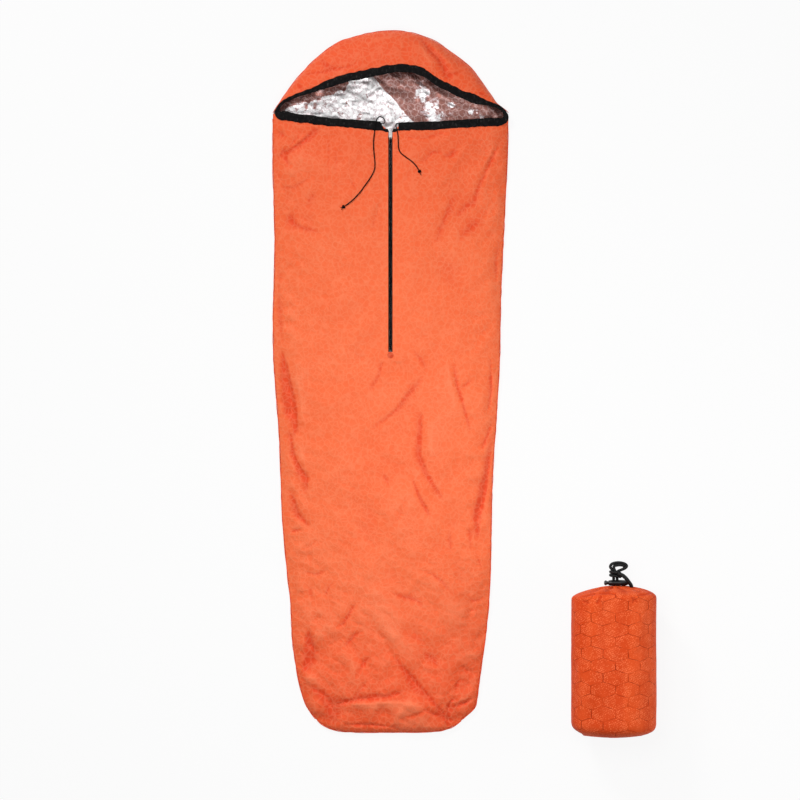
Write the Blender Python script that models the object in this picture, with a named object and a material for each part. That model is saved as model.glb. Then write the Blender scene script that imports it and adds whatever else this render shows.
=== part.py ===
"""Emergency sleeping bag, laid flat, with its stuff sack beside it.

Metres, +Z up. The origin is on the floor under the middle of the bag. +Y points to the hood,
and +X to the side where the stuff sack lies.
"""
import bpy
import bmesh
import math
from mathutils import Vector

# Fabric layers
FABRIC = 0.0010
LINING = 0.0008
GAP = 0.0003
STACK = FABRIC + GAP + LINING

# Outline of the bag, half widths from the shoulders to the foot
SHOULDER_HALF = 0.352
SHOULDER_Y = 0.783
KNEE_HALF = 0.312
KNEE_Y = -0.400
FOOT_HALF = 0.225
FOOT_CORNER_Y = -1.013
FOOT_Y = -1.050
HOOD_TOP_Y = 1.050
HOOD_BASE_Y = 0.801
FOOT_TAPER_SHARE = 0.45
FOOT_TAPER_POWER = 2
FOOT_CORNER_POWER = 9
SHOULDER_POWER = 1.7
HOOD_RIM_POWER = 0.86
ROW_BEND = 2.0
ROW_BEND_AT_FOOT = 4.0

# Heights over the floor
SEAM_HEIGHT = 0.008
CHEST_HEIGHT = 0.060
FOOT_HEIGHT = 0.036
HOOD_HEIGHT = 0.085
CROWN_POWER = 2.4
CROWN_ROOT = 0.6
EDGE_BLEND = 3.0
LEVEL_END_Y = 0.02
LOW_START_Y = -0.86
FOOT_ROUND_LENGTH = 0.16

# Mouth
CHEST_EDGE_Y = 0.760
CHEST_CORNER_Y = SHOULDER_Y
HOOD_EDGE_Y = 0.930
HOOD_CORNER_Y = 0.8090
HOOD_CORNER_HALF = 0.344
HOOD_END_INSET = 0.0217
HOOD_CORNER_RISE = 0.004
HOOD_EDGE_SIDE_POWER = 0.9
HOOD_EDGE_BACK_POWER = 1.45

# Binding, the folded tape that is the drawcord's channel
BINDING = 0.0008
LIP = 0.014
LIP_SHARE = 0.9
CHANNEL = 0.0078
CORD_LINE = 0.0066
BINDING_END = 0.024
CORNER_TUBE = 0.0024
CORNER_BORE = 0.0017
CORNER_PULL = 0.019
CORNER_STEPS = 9
CORNER_SIDES = 8

# Drawcord
CORD = 0.0022
KNOT_RADIUS = 0.0033
KNOT_DEPTH = 0.0015
KNOT_WIRE = 0.0020
KNOT_POINTS = 26
KNOT_OPENING = 0.30
LOOP_RISE = 0.0032
LOOP_START = 0.003
CORD_REST = 0.0006

# Zip
ZIP_BOTTOM_Y = 0.085
ZIP_SLOT_HALF = 0.007
TAPE_HALF = 0.015
TAPE_TOP_Y = 0.751
TAPE_FLARE_Y = 0.739
TAPE_FLARE = 0.0050
TOOTH_PITCH = 0.0065
TOOTH_CLEARANCE = 0.00035
TOOTH_REACH = 0.0011
TOOTH_THICK = 0.0024
TEETH_TOP_CLEARANCE = 0.0012
SPINE_INNER = 0.0014
SPINE_OUTER = 0.0028
STOP_LENGTH = 0.005
STOP_HALF = 0.0038
PATCH_RADIUS = 0.009
PATCH_BELOW = 0.010
PATCH_SIDES = 20

# Slider and its pull tab
SLIDER_TOP_Y = 0.741
SLIDER_LENGTH = 0.016
SLIDER_HALF = 0.0052
SLIDER_PLATE = 0.0013
PLATE_STEPS = 7
PLATE_WAIST = 0.62
PLATE_ARC = (0.12, 0.74)
PLATE_POWER = 0.35
RAIL_INNER = 0.0034
RAIL_OUTER = 0.0044
RAIL_INSET = 0.0016
DIVIDER_LENGTH = 0.006
DIVIDER_HALF = 0.0016
DIVIDER_INSET = 0.0008
BAIL_BORE = 0.0010
BAIL_WALL = 0.0010
BAIL_WIDTH = 0.0014
TAB_LENGTH = 0.019
TAB_HALF = 0.0026
TAB_THICK = 0.0008
TAB_BAR = 0.0004
TAB_WINDOW_HALF = 0.0012
TAB_CORNER = (0.0014, 0.0020)
TAB_HOLE = 0.0014
TAB_HOLE_FROM_TIP = 0.0042
TAB_HOLE_SIDES = 12

# Seam tapes
SEAM_TAPE = 0.0006
SEAM_TAPE_HALF = 0.003

# Stuff sack, lying on its side with its mouth towards +Y
SACK_X = 0.6605
SACK_BOTTOM_Y = -1.061
SACK_LENGTH = 0.446
SACK_RADIUS = 0.1255
SACK_SETTLE = 0.003
SACK_SHOULDER = 0.028
SACK_DOME = 0.033
SACK_DOME_POWER = 2.6
SACK_DOME_ROOT = 0.42
SACK_MOUTH = 0.0200
SACK_MOUTH_SHIFT = 0.008
PLEATS = 14
PLEAT_DEPTH = 0.0040
PLEAT_GROWTH = 1.5
COLLAR_SHARES = (0.985, 0.94, 0.86, 0.74, 0.58, 0.38)
HEM_LENGTH = 0.015
HEM_SUNK = 0.011
HEM_BORE = 0.0108
HEM_PROFILE = [(0.93, 0.0, 0.0), (0.97, 0.4, 0.08), (1.0, 0.70, 0.10), (0.72, 1.0, 0.10)]
BUNDLE_ROUND = 0.022
SEAM_BAND = 0.012
SACK_CORD = 0.0088
SACK_CORD_SPACING = 0.7
STRAND_HALF_SPACING = 0.0052
WRAP_TURNS = 1.5
WRAP_PITCH = 0.0100

# Cord lock, its barrel lies along X
LOCK_LENGTH = 0.060
LOCK_DEPTH = 0.018
LOCK_HEIGHT = 0.030
LOCK_WALL = 0.0034
LOCK_END_WALL = 0.0054
LOCK_SHIFT = 0.010
LOCK_END_PROFILE = [(0.0, 0.45), (0.0043, 0.75), (0.013, 0.95), (0.024, 1.0)]
LOCK_MOUTH_PROFILE = [(0.0086, 0.97), (0.0, 0.84)]
LOCK_MOUTH_RIM = 0.0013
BORE_FLATNESS = 0.75
STEM_CLEARANCE = 0.0003
STEM_END = 0.0034
BUTTON_PROFILE = [(0.0004, 0.86, 0.82), (0.0047, 0.80, 0.76), (0.0073, 0.45, 0.45)]
LOCK_TRAVEL = 0.006
LOCK_RUN = 0.004
SPRING_TURNS = 5
SPRING_WIRE = 0.0012
SPRING_RADIUS = 0.0036
SPRING_SIDES = 9
WRAP_SIDES = 12

# Routes of the free cords, seen from above, from where each leaves its channel
LEFT_ROUTE = [(-0.0237, 0.7667), (-0.0208, 0.7668), (-0.0172, 0.7695), (-0.0175, 0.7770), (-0.0225, 0.7840),
              (-0.0300, 0.7868), (-0.0365, 0.7845), (-0.0410, 0.7775), (-0.0455, 0.7600),
              (-0.0475, 0.7400), (-0.0502, 0.7150), (-0.0500, 0.6900),
              (-0.0475, 0.6640), (-0.0462, 0.6420), (-0.0500, 0.6225), (-0.0620, 0.6010), (-0.0770, 0.5800),
              (-0.0915, 0.5600), (-0.1070, 0.5430), (-0.1230, 0.5290), (-0.1350, 0.5210)]
RIGHT_ROUTE = [(0.0237, 0.7667), (0.0208, 0.7668), (0.0172, 0.7652), (0.0165, 0.7590), (0.0195, 0.7480),
               (0.0225, 0.7300),
               (0.0234, 0.7120), (0.0243, 0.6940), (0.0305, 0.6790), (0.0475, 0.6650), (0.0640, 0.6530),
               (0.0765, 0.6400), (0.0840, 0.6280)]
SACK_ROUTE = [(-0.0052, -0.004, 0.0), (-0.0052, 0.0215, 0.0), (-0.0052, 0.0450, 0.0), (-0.0056, 0.0495, 0.0),
              (-0.0115, 0.0550, -0.001), (-0.0150, 0.0620, -0.004), (-0.0100, 0.0690, -0.008),
              (0.0010, 0.0725, -0.011), (0.0140, 0.0730, -0.012), (0.0270, 0.0700, -0.011),
              (0.0340, 0.0640, -0.008), (0.0300, 0.0575, -0.005), (0.0180, 0.0520, -0.002),
              (0.0080, 0.0480, 0.0), (0.0054, 0.0430, 0.0), (0.0052, 0.0215, 0.0), (0.0052, -0.004, 0.0)]

# Places of the grid lines of the front panel and the hood
COLUMN_SHARES = [0.25, 0.48, 0.68, 0.84, 0.94, 0.985, 1.0]
CHEST_ROWS = [0.2, 0.45, 0.72, 1.0]
LEG_ROWS = [0.2, 0.45, 0.7, 0.88, 1.0]
FOOT_ROWS = [0.30, 0.55, 0.75, 0.90, 0.975, 1.0]
HOOD_ROWS = [1.0, 0.80, 0.55, 0.32, 0.14, 0.04, 0.0]
HOOD_STEPS = 9

BODY_MATERIALS = {
    "orange_fabric": ((0.88, 0.13, 0.045), 0.55, 0.0),
    "silver_foil": ((0.80, 0.79, 0.79), 0.25, 0.9),
    "black_tape": ((0.012, 0.011, 0.012), 0.70, 0.0),
    "black_cord": ((0.010, 0.010, 0.011), 0.75, 0.0),
    "black_plastic": ((0.012, 0.012, 0.013), 0.35, 0.0),
    "zip_metal": ((0.62, 0.61, 0.60), 0.32, 1.0),
    "spring_steel": ((0.45, 0.45, 0.46), 0.30, 1.0),
    "folded_film": ((0.70, 0.22, 0.12), 0.60, 0.0),
}


def clear_scene():
    for thing in list(bpy.data.objects):
        bpy.data.objects.remove(thing, do_unlink=True)


def material(name):
    found = bpy.data.materials.get(name)
    if found is None:
        colour, roughness, metallic = BODY_MATERIALS[name]
        found = bpy.data.materials.new(name)
        found.use_nodes = True
        shader = found.node_tree.nodes["Principled BSDF"]
        shader.inputs["Base Color"].default_value = (*colour, 1.0)
        shader.inputs["Roughness"].default_value = roughness
        shader.inputs["Metallic"].default_value = metallic
    return found


def add_object(name, points, faces, finish, origin=(0.0, 0.0, 0.0), smooth_angle=40.0):
    """A closed mesh from world points, with its origin at a world point and its faces pointing out."""
    origin = Vector(origin)
    mesh = bpy.data.meshes.new(name)
    mesh.from_pydata([Vector(p) - origin for p in points], [], faces)
    shape = bmesh.new()
    shape.from_mesh(mesh)
    bmesh.ops.recalc_face_normals(shape, faces=shape.faces)
    shape.to_mesh(mesh)
    shape.free()
    mesh.shade_smooth()
    mesh.set_sharp_from_angle(angle=math.radians(smooth_angle))
    mesh.materials.append(material(finish))
    thing = bpy.data.objects.new(name, mesh)
    thing.location = origin
    bpy.context.scene.collection.objects.link(thing)
    return thing


def halves(quad):
    """A quad as two triangles, always across the same diagonal, so that nested layers stay parallel."""
    return [(quad[0], quad[1], quad[2]), (quad[0], quad[2], quad[3])]


def sweep(sections, closed=False):
    """Faces that join equal rings of points, in order, with a cap on each end."""
    count = len(sections[0])
    points = [p for section in sections for p in section]
    faces = []
    steps = len(sections) if closed else len(sections) - 1
    for i in range(steps):
        here = i * count
        there = ((i + 1) % len(sections)) * count
        for j in range(count):
            k = (j + 1) % count
            faces += halves((here + j, here + k, there + k, there + j))
    if not closed:
        faces.append(tuple(range(count)))
        faces.append(tuple(range(steps * count, (steps + 1) * count)))
    return points, faces


def join_open_edges(faces, offset):
    """Side faces between a sheet's open edges and those of its copy, offset places later."""
    used = {}
    for face in faces:
        for a, b in zip(face, face[1:] + face[:1]):
            used[(a, b)] = used.get((a, b), 0) + 1
    return [(a, b, b + offset, a + offset) for a, b in used if (b, a) not in used]


class Sheet:
    """A surface of quads with a normal at each point. Layers are cut from it at chosen depths."""

    def __init__(self):
        self.points = []
        self.faces = []
        self.normals = []
        self.fixed = {}

    def finish_normals(self):
        sums = [Vector((0, 0, 0)) for _ in self.points]
        for face in self.faces:
            corners = [self.points[i] for i in face]
            normal = (corners[2] - corners[0]).cross(corners[3] - corners[1])
            normal = normal.normalized() if normal.length > 0 else normal
            for i in face:
                sums[i] += normal
        for total in sums:
            if total.z < 0:
                total.negate()
        self.normals = [self.fixed.get(i, total.normalized()) for i, total in enumerate(sums)]

    def layer(self, name, top, thickness, finish, keep=lambda face: True):
        faces = [tuple(face) for face in self.faces if keep(face)]
        used = sorted({i for face in faces for i in face})
        new = {old: k for k, old in enumerate(used)}
        faces = [tuple(new[i] for i in face) for face in faces]
        upper = [self.points[i] - self.normals[i] * top for i in used]
        lower = [self.points[i] - self.normals[i] * (top + thickness) for i in used]
        count = len(used)
        triangles = []
        for face in faces:
            left = sum(self.points[used[i]].x for i in face) < 0.0
            triangles += halves(face[1:] + face[:1] if left else face)
        solid = triangles + [tuple(i + count for i in reversed(half)) for half in triangles]
        solid += join_open_edges(faces, count)
        return add_object(name, upper + lower, solid, finish)


def smooth_between(low, high, value):
    share = min(1.0, max(0.0, (value - low) / (high - low)))
    return share * share * (3.0 - 2.0 * share)


def half_width(y):
    """Half of the bag's width, from the foot corner up to the shoulders."""
    foot_share = (KNEE_Y - y) / (KNEE_Y - FOOT_CORNER_Y)
    if foot_share > 0:
        taper = FOOT_TAPER_SHARE * foot_share ** FOOT_TAPER_POWER
        taper += (1.0 - FOOT_TAPER_SHARE) * foot_share ** FOOT_CORNER_POWER
        return KNEE_HALF - (KNEE_HALF - FOOT_HALF) * taper
    rise = (y - KNEE_Y) / (SHOULDER_Y - KNEE_Y)
    return KNEE_HALF + (SHOULDER_HALF - KNEE_HALF) * (1.0 - (1.0 - rise) ** SHOULDER_POWER)


def crown(share):
    """Height share of a soft panel: 1 on its middle line, 0 at its seam, steep beside the seam."""
    return max(0.0, 1.0 - abs(share) ** CROWN_POWER) ** CROWN_ROOT


def lower_of(a, b):
    """A soft minimum of two height shares. It is 0 where either of them is."""
    if min(a, b) <= 0.0:
        return 0.0
    return (a ** -EDGE_BLEND + b ** -EDGE_BLEND - 1.0) ** (-1.0 / EDGE_BLEND)


def front_height(x, middle, wide):
    """Height of the front panel. Its middle line is level along the zip, and it closes down on the seam."""
    ridge = FOOT_HEIGHT + (CHEST_HEIGHT - FOOT_HEIGHT) * smooth_between(LOW_START_Y, LEVEL_END_Y, middle)
    near_foot = max(0.0, (FOOT_Y + FOOT_ROUND_LENGTH - middle) / FOOT_ROUND_LENGTH)
    rise = lower_of(crown(min(1.0, abs(x) / wide)), crown(min(1.0, near_foot)))
    return SEAM_HEIGHT + (ridge - SEAM_HEIGHT) * rise


def row_middles():
    """The front panel's rows, by their Y on the middle line, from the mouth to the foot."""
    rows = [CHEST_EDGE_Y, CHEST_EDGE_Y - 1.5 * LIP]
    span = rows[-1] - ZIP_BOTTOM_Y
    rows += [rows[1] - span * share for share in CHEST_ROWS]
    foot_start = FOOT_Y + FOOT_ROUND_LENGTH
    rows += [ZIP_BOTTOM_Y + (foot_start - ZIP_BOTTOM_Y) * share for share in LEG_ROWS]
    rows += [foot_start - FOOT_ROUND_LENGTH * share for share in FOOT_ROWS]
    return rows


def row_side(middle):
    """Y where a row meets the side seam."""
    top = smooth_between(ZIP_BOTTOM_Y, CHEST_EDGE_Y, middle)
    foot = smooth_between(FOOT_Y + FOOT_ROUND_LENGTH, FOOT_Y, middle)
    return middle + (CHEST_CORNER_Y - CHEST_EDGE_Y) * top + (FOOT_CORNER_Y - FOOT_Y) * foot


def row_point(middle, x):
    side = row_side(middle)
    wide = half_width(side)
    share = min(1.0, abs(x) / wide)
    power = ROW_BEND_AT_FOOT if middle < LOW_START_Y else ROW_BEND
    y = middle + (side - middle) * share ** power
    return Vector((x, y, front_height(x, middle, wide)))


def column_places(wide):
    """X of the columns, from the left seam to the right seam."""
    near = [ZIP_SLOT_HALF, TAPE_HALF, BINDING_END]
    far = [BINDING_END + (wide - BINDING_END) * share for share in COLUMN_SHARES]
    right = near + far
    return [-x for x in reversed(right)] + right


def outward(points, i, closed=False):
    """Level direction out of an outline at one of its points, where the outline runs anticlockwise."""
    count = len(points)
    before = points[(i - 1) % count] if closed or i > 0 else points[i]
    after = points[(i + 1) % count] if closed or i < count - 1 else points[i]
    along = after - before
    return Vector((along.y, -along.x, 0.0)).normalized()


def hood_rim(place):
    """The hood's seam, place running from 1 at the right corner to -1 at the left one."""
    reach = abs(place)
    x = math.copysign(SHOULDER_HALF * reach ** HOOD_RIM_POWER, place)
    return Vector((x, HOOD_TOP_Y - (HOOD_TOP_Y - HOOD_BASE_Y) * reach ** 2, SEAM_HEIGHT))


def hood_edge(place):
    """The hood's free edge over the mouth, at the same places."""
    reach = abs(place)
    x = math.copysign(HOOD_CORNER_HALF * reach ** HOOD_EDGE_SIDE_POWER, place)
    y = HOOD_EDGE_Y - (HOOD_EDGE_Y - HOOD_CORNER_Y) * reach ** HOOD_EDGE_BACK_POWER
    low = SEAM_HEIGHT + HOOD_CORNER_RISE
    return Vector((x, y, low + (HOOD_HEIGHT - low) * crown(reach)))


def hood_end():
    """The hood panel's last place at each side, a little short of the mouth's corner."""
    return (1.0 - HOOD_END_INSET / HOOD_CORNER_HALF) ** (1.0 / HOOD_EDGE_SIDE_POWER)


def hood_places():
    right = [hood_end() * math.sin(0.5 * math.pi * k / (HOOD_STEPS - 1)) for k in range(HOOD_STEPS)]
    return [-p for p in reversed(right[1:])] + right


def bag_outline(rows):
    """The whole seam line, anticlockwise from the right foot corner, and how its stretches are numbered."""
    right = [Vector((half_width(row_side(m)), row_side(m), SEAM_HEIGHT)) for m in reversed(rows)]
    corner = [1.0, 0.5 + 0.5 * hood_end()]
    hood = [hood_rim(p) for p in corner + list(reversed(hood_places())) + [-p for p in reversed(corner)]]
    left = [Vector((-p.x, p.y, p.z)) for p in reversed(right)]
    foot = [row_point(rows[-1], x) for x in column_places(FOOT_HALF)[1:-1]]
    for p in foot:
        p.z = SEAM_HEIGHT
    ends = [len(right), len(right) + len(hood), len(right) + len(hood) + len(left)]
    return right + hood + left + foot, ends


def make_front(rows, outline):
    """The front panel's sheet. Its rows run from the mouth to the foot, its columns from left to right."""
    sheet = Sheet()
    directions = {}
    for i, p in enumerate(outline):
        directions[(round(p.x, 6), round(p.y, 6))] = outward(outline, i, closed=True)
    for middle in rows:
        for x in column_places(half_width(row_side(middle))):
            p = row_point(middle, x)
            way = directions.get((round(p.x, 6), round(p.y, 6)))
            if way is not None and p.z < SEAM_HEIGHT + 0.0001:
                p.z = SEAM_HEIGHT + 0.5 * GAP
                sheet.fixed[len(sheet.points)] = way
            sheet.points.append(p)
    columns = len(column_places(1.0))
    for r in range(len(rows) - 1):
        for c in range(columns - 1):
            a = r * columns + c
            sheet.faces.append((a, a + columns, a + columns + 1, a + 1))
    sheet.finish_normals()
    return sheet, columns


def make_hood(outline):
    """The hood's sheet. Its rows run from the free edge to the seam, its columns from left to right."""
    sheet = Sheet()
    directions = {}
    for i, p in enumerate(outline):
        directions[(round(p.x, 6), round(p.y, 6))] = outward(outline, i, closed=True)
    places = hood_places()
    for share in HOOD_ROWS:
        for place in places:
            rim, edge = hood_rim(place), hood_edge(place)
            p = rim.lerp(edge, share)
            p.z = rim.z + (edge.z - rim.z) * crown(1.0 - share)
            if share == 0.0:
                p.z = SEAM_HEIGHT + 0.5 * GAP
                sheet.fixed[len(sheet.points)] = directions[(round(rim.x, 6), round(rim.y, 6))]
            sheet.points.append(p)
    columns = len(places)
    for r in range(len(HOOD_ROWS) - 1):
        for c in range(columns - 1):
            a = r * columns + c
            sheet.faces.append((a, a + 1, a + columns + 1, a + columns))
    sheet.finish_normals()
    return sheet, columns


def slot_filter(sheet, columns, rows, half):
    """Keeps the faces outside the zip's slot, whose half width is one of the columns."""
    bottom = rows.index(min(rows, key=lambda y: abs(y - ZIP_BOTTOM_Y)))

    def keep(face):
        row = face[0] // columns
        middle = sum((sheet.points[i].x for i in face)) / 4.0
        return row >= bottom or abs(middle) > half

    return keep


def make_pan(name, outline, top, thickness, finish):
    """The back: a flat layer whose edge turns up to the seam line in a quarter round."""
    angles = [0.0, math.radians(45), math.radians(90)]

    def ring(depth, angle, height=None):
        radius = SEAM_HEIGHT - depth
        inset = SEAM_HEIGHT - radius * math.cos(angle)
        z = SEAM_HEIGHT - radius * math.sin(angle) if height is None else height
        return [Vector((p.x, p.y, z)) - outward(outline, i, True) * inset for i, p in enumerate(outline)]

    rim = SEAM_HEIGHT - 0.5 * GAP
    outer = [ring(top, angles[0], rim)] + [ring(top, a) for a in angles[1:]]
    inner = [ring(top + thickness, a) for a in reversed(angles[1:])] + [ring(top + thickness, angles[0], rim)]
    points, faces = sweep(list(reversed(outer)) + list(reversed(inner)))
    return add_object(name, points, faces, finish)


def binding_section(point, out, normal, lip):
    """The folded tape around a panel's edge: two lips, and a round fold that holds the cord."""
    middle = point - normal * (STACK / 2.0)
    inner = STACK / 2.0 + GAP
    outer = inner + BINDING
    turn = [math.radians(a) for a in (90, 45, 0, -45, -90)]

    def place(along, across):
        return middle + out * along + normal * across

    section = [place(-lip, outer)]
    section += [place(CHANNEL + outer * math.cos(a), outer * math.sin(a)) for a in turn]
    section += [place(-lip, -outer), place(-lip, -inner)]
    section += [place(CHANNEL + inner * math.cos(a), inner * math.sin(a)) for a in reversed(turn)]
    section += [place(-lip, inner)]
    return section


def edge_frames(sheet, columns, wanted):
    """Point, way out over the edge, normal and lip length at the chosen columns of a sheet's first row."""
    frames = []
    for c in wanted:
        point = sheet.points[c]
        inner = sheet.points[c + columns]
        normal = sheet.normals[c]
        out = point - inner
        reach = out.length
        out = (out - normal * out.dot(normal)).normalized()
        frames.append((point, out, normal, min(LIP, LIP_SHARE * reach)))
    return frames


def make_binding(name, sheet, columns, wanted):
    frames = edge_frames(sheet, columns, wanted)
    points, faces = sweep([binding_section(*frame) for frame in frames])
    add_object(name, points, faces, "black_tape", smooth_angle=60.0)
    line = [point - normal * (STACK / 2.0) + out * CORD_LINE for point, out, normal, _ in frames]
    ways = []
    for (_, out, normal, _), inward in ((frames[0], line[1] - line[0]), (frames[-1], line[-2] - line[-1])):
        way = out.cross(normal).normalized()
        ways.append(way if way.dot(inward) < 0 else -way)
    return line, ways


def smooth_route(route, spacing):
    """Evenly spaced points on a smooth curve through the route's own points."""
    fine = []
    for i in range(len(route) - 1):
        a = route[i - 1] if i > 0 else route[i] * 2 - route[i + 1]
        b, c = route[i], route[i + 1]
        d = route[i + 2] if i + 2 < len(route) else c * 2 - b
        for k in range(12):
            t = k / 12.0
            fine.append(0.5 * (2 * b + (c - a) * t + (2 * a - 5 * b + 4 * c - d) * t ** 2
                               + (3 * b - a - 3 * c + d) * t ** 3))
    fine.append(route[-1])
    lengths = [0.0]
    for a, b in zip(fine, fine[1:]):
        lengths.append(lengths[-1] + (b - a).length)
    count = max(2, round(lengths[-1] / spacing))
    points, k = [], 0
    for i in range(count + 1):
        target = lengths[-1] * i / count
        while k < len(fine) - 2 and lengths[k + 1] < target:
            k += 1
        share = (target - lengths[k]) / (lengths[k + 1] - lengths[k])
        points.append(fine[k].lerp(fine[k + 1], min(1.0, share)))
    return points


def add_cord(name, points, diameter, finish, resolution=2, origin=(0.0, 0.0, 0.0)):
    """A round tube along a line of points, with closed ends."""
    origin = Vector(origin)
    curve = bpy.data.curves.new(name, "CURVE")
    curve.dimensions = "3D"
    curve.bevel_depth = diameter / 2.0
    curve.bevel_resolution = resolution
    curve.use_fill_caps = True
    spline = curve.splines.new("POLY")
    spline.points.add(len(points) - 1)
    for slot, point in zip(spline.points, points):
        slot.co = (*(point - origin), 1.0)
    curve.materials.append(material(finish))
    thing = bpy.data.objects.new(name, curve)
    thing.location = origin
    bpy.context.scene.collection.objects.link(thing)
    return thing


def chest_surface(x, y):
    """Height of the front panel at a place on the chest."""
    return front_height(x, y, half_width(y))


def lay_cord(route):
    """Heights for a cord's route: out of the channel, over the binding, then on the chest panel."""
    over_binding = CHEST_EDGE_Y + CHANNEL + LOOP_START
    under_lip = CHEST_EDGE_Y - LIP - 2.0 * CORD
    laid = []
    for i, (x, y) in enumerate(route):
        surface = chest_surface(x, min(y, CHEST_EDGE_Y))
        lift = GAP + CORD / 2.0 + CORD_REST
        if i < 2:
            z = surface - STACK / 2.0
        elif y > over_binding:
            z = surface + LOOP_RISE
        elif y > under_lip and abs(x) > BINDING_END:
            z = surface + lift + BINDING + GAP
        else:
            z = surface + lift
        laid.append(Vector((x, y, z)))
    return laid


def print_own_gap(name, points, diameter):
    """Measures the least gap between a winding's own turns, on close points along its line."""
    fine = []
    for a, b in zip(points, points[1:]):
        pieces = max(1, math.ceil(4.0 * (b - a).length / diameter))
        fine += [a.lerp(b, k / pieces) for k in range(pieces)]
    fine.append(points[-1])
    along = [0.0]
    for a, b in zip(fine, fine[1:]):
        along.append(along[-1] + (b - a).length)
    least = min((a - b).length for i, a in enumerate(fine) for j, b in enumerate(fine[:i])
                if along[i] - along[j] > 3.0 * diameter)
    print(f"{name}: least gap to itself {(least - diameter) * 1000.0:.2f} mm")


def knot_points(centre, turn):
    """An overhand knot: a trefoil that is left open where the cord comes in."""
    points = []
    for i in range(KNOT_POINTS):
        t = KNOT_OPENING + 2.0 * (math.pi - KNOT_OPENING) * i / (KNOT_POINTS - 1)
        radius = KNOT_RADIUS + KNOT_DEPTH * math.cos(3.0 * t)
        angle = 2.0 * t + turn
        height = KNOT_DEPTH * math.sin(3.0 * t)
        points.append(centre + Vector((radius * math.cos(angle), radius * math.sin(angle), height)))
    return points


def make_free_cord(name, route):
    line = smooth_route(lay_cord(route), 3.0 * CORD)
    leaving = Vector((-math.copysign(CORD, route[0][0]), 0.0, 0.0))
    line.insert(1, line[0] + leaving)
    add_cord(name, line, CORD, "black_cord")
    print_own_gap(name, line, CORD)
    way = (line[-1] - line[-2]).normalized()
    centre = line[-1] + way * (KNOT_RADIUS + KNOT_WIRE / 2.0 + GAP)
    centre.z = chest_surface(centre.x, centre.y) + KNOT_DEPTH + KNOT_WIRE / 2.0
    heading = math.atan2(-way.y, -way.x)
    knot = knot_points(centre, heading)
    add_cord(name + "_knot", knot, KNOT_WIRE, "black_cord", 1)
    print_own_gap(name + "_knot", knot, KNOT_WIRE)


def make_corner(name, start, start_way, end, end_way):
    """The channel's turn at a corner of the mouth, an open tube from one binding's end to the other's."""
    first = start + start_way * GAP
    last = end + end_way * GAP
    pull_a, pull_b = first + start_way * CORNER_PULL, last + end_way * CORNER_PULL
    line = []
    for i in range(CORNER_STEPS + 1):
        t = i / CORNER_STEPS
        line.append(first * (1 - t) ** 3 + pull_a * (3 * t * (1 - t) ** 2)
                    + pull_b * (3 * t * t * (1 - t)) + last * t ** 3)
    rings = []
    for i, p in enumerate(line):
        along = line[min(i + 1, CORNER_STEPS)] - line[max(i - 1, 0)]
        along = start_way if i == 0 else (-end_way if i == CORNER_STEPS else along.normalized())
        across = along.cross(Vector((0, 0, 1))).normalized()
        rings.append((p, across, across.cross(along).normalized()))

    def ring(frame, radius):
        p, across, up = frame
        turns = [2.0 * math.pi * k / CORNER_SIDES for k in range(CORNER_SIDES)]
        return [p + across * (radius * math.cos(a)) + up * (radius * math.sin(a)) for a in turns]

    sections = [ring(f, CORNER_TUBE) for f in rings] + [ring(f, CORNER_BORE) for f in reversed(rings)]
    points, faces = sweep(sections, closed=True)
    add_object(name, points, faces, "black_tape", smooth_angle=60.0)
    return line


def box_points(low, high):
    corners = [(x, y, z) for z in (low[2], high[2]) for x, y in
               ((low[0], low[1]), (high[0], low[1]), (high[0], high[1]), (low[0], high[1]))]
    faces = [(0, 3, 2, 1), (4, 5, 6, 7), (0, 1, 5, 4), (1, 2, 6, 5), (2, 3, 7, 6), (3, 0, 4, 7)]
    return corners, faces


def prism(outline, low, high):
    """Points and faces of a flat outline drawn from one height up to another."""
    lower = [(x, y, low) for x, y in outline]
    upper = [(x, y, high) for x, y in outline]
    return sweep([lower, upper])


def flat_circle(radius, centre_y, sides):
    """A round outline from above, its centre on the middle line."""
    turns = [2.0 * math.pi * k / sides for k in range(sides)]
    return [(radius * math.cos(a), centre_y + radius * math.sin(a)) for a in turns]


def make_tapes():
    """The zip's two tapes. Each lies level with the lining and flares away from the slit at its top."""
    top = CHEST_HEIGHT - FABRIC - GAP
    inner = SPINE_OUTER + GAP
    outer = TAPE_HALF - GAP
    bottom = ZIP_BOTTOM_Y + GAP
    for name, side in (("zip_tape_left", -1.0), ("zip_tape_right", 1.0)):
        outline = [(side * inner, bottom), (side * outer, bottom), (side * outer, TAPE_TOP_Y),
                   (side * (inner + TAPE_FLARE), TAPE_TOP_Y), (side * inner, TAPE_FLARE_Y)]
        points, faces = prism(outline, top - LINING, top)
        add_object(name, points, faces, "black_tape")


def chain_middle():
    """Height of the middle of the teeth, which is that of the tapes."""
    return CHEST_HEIGHT - FABRIC - GAP - LINING / 2.0


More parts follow.
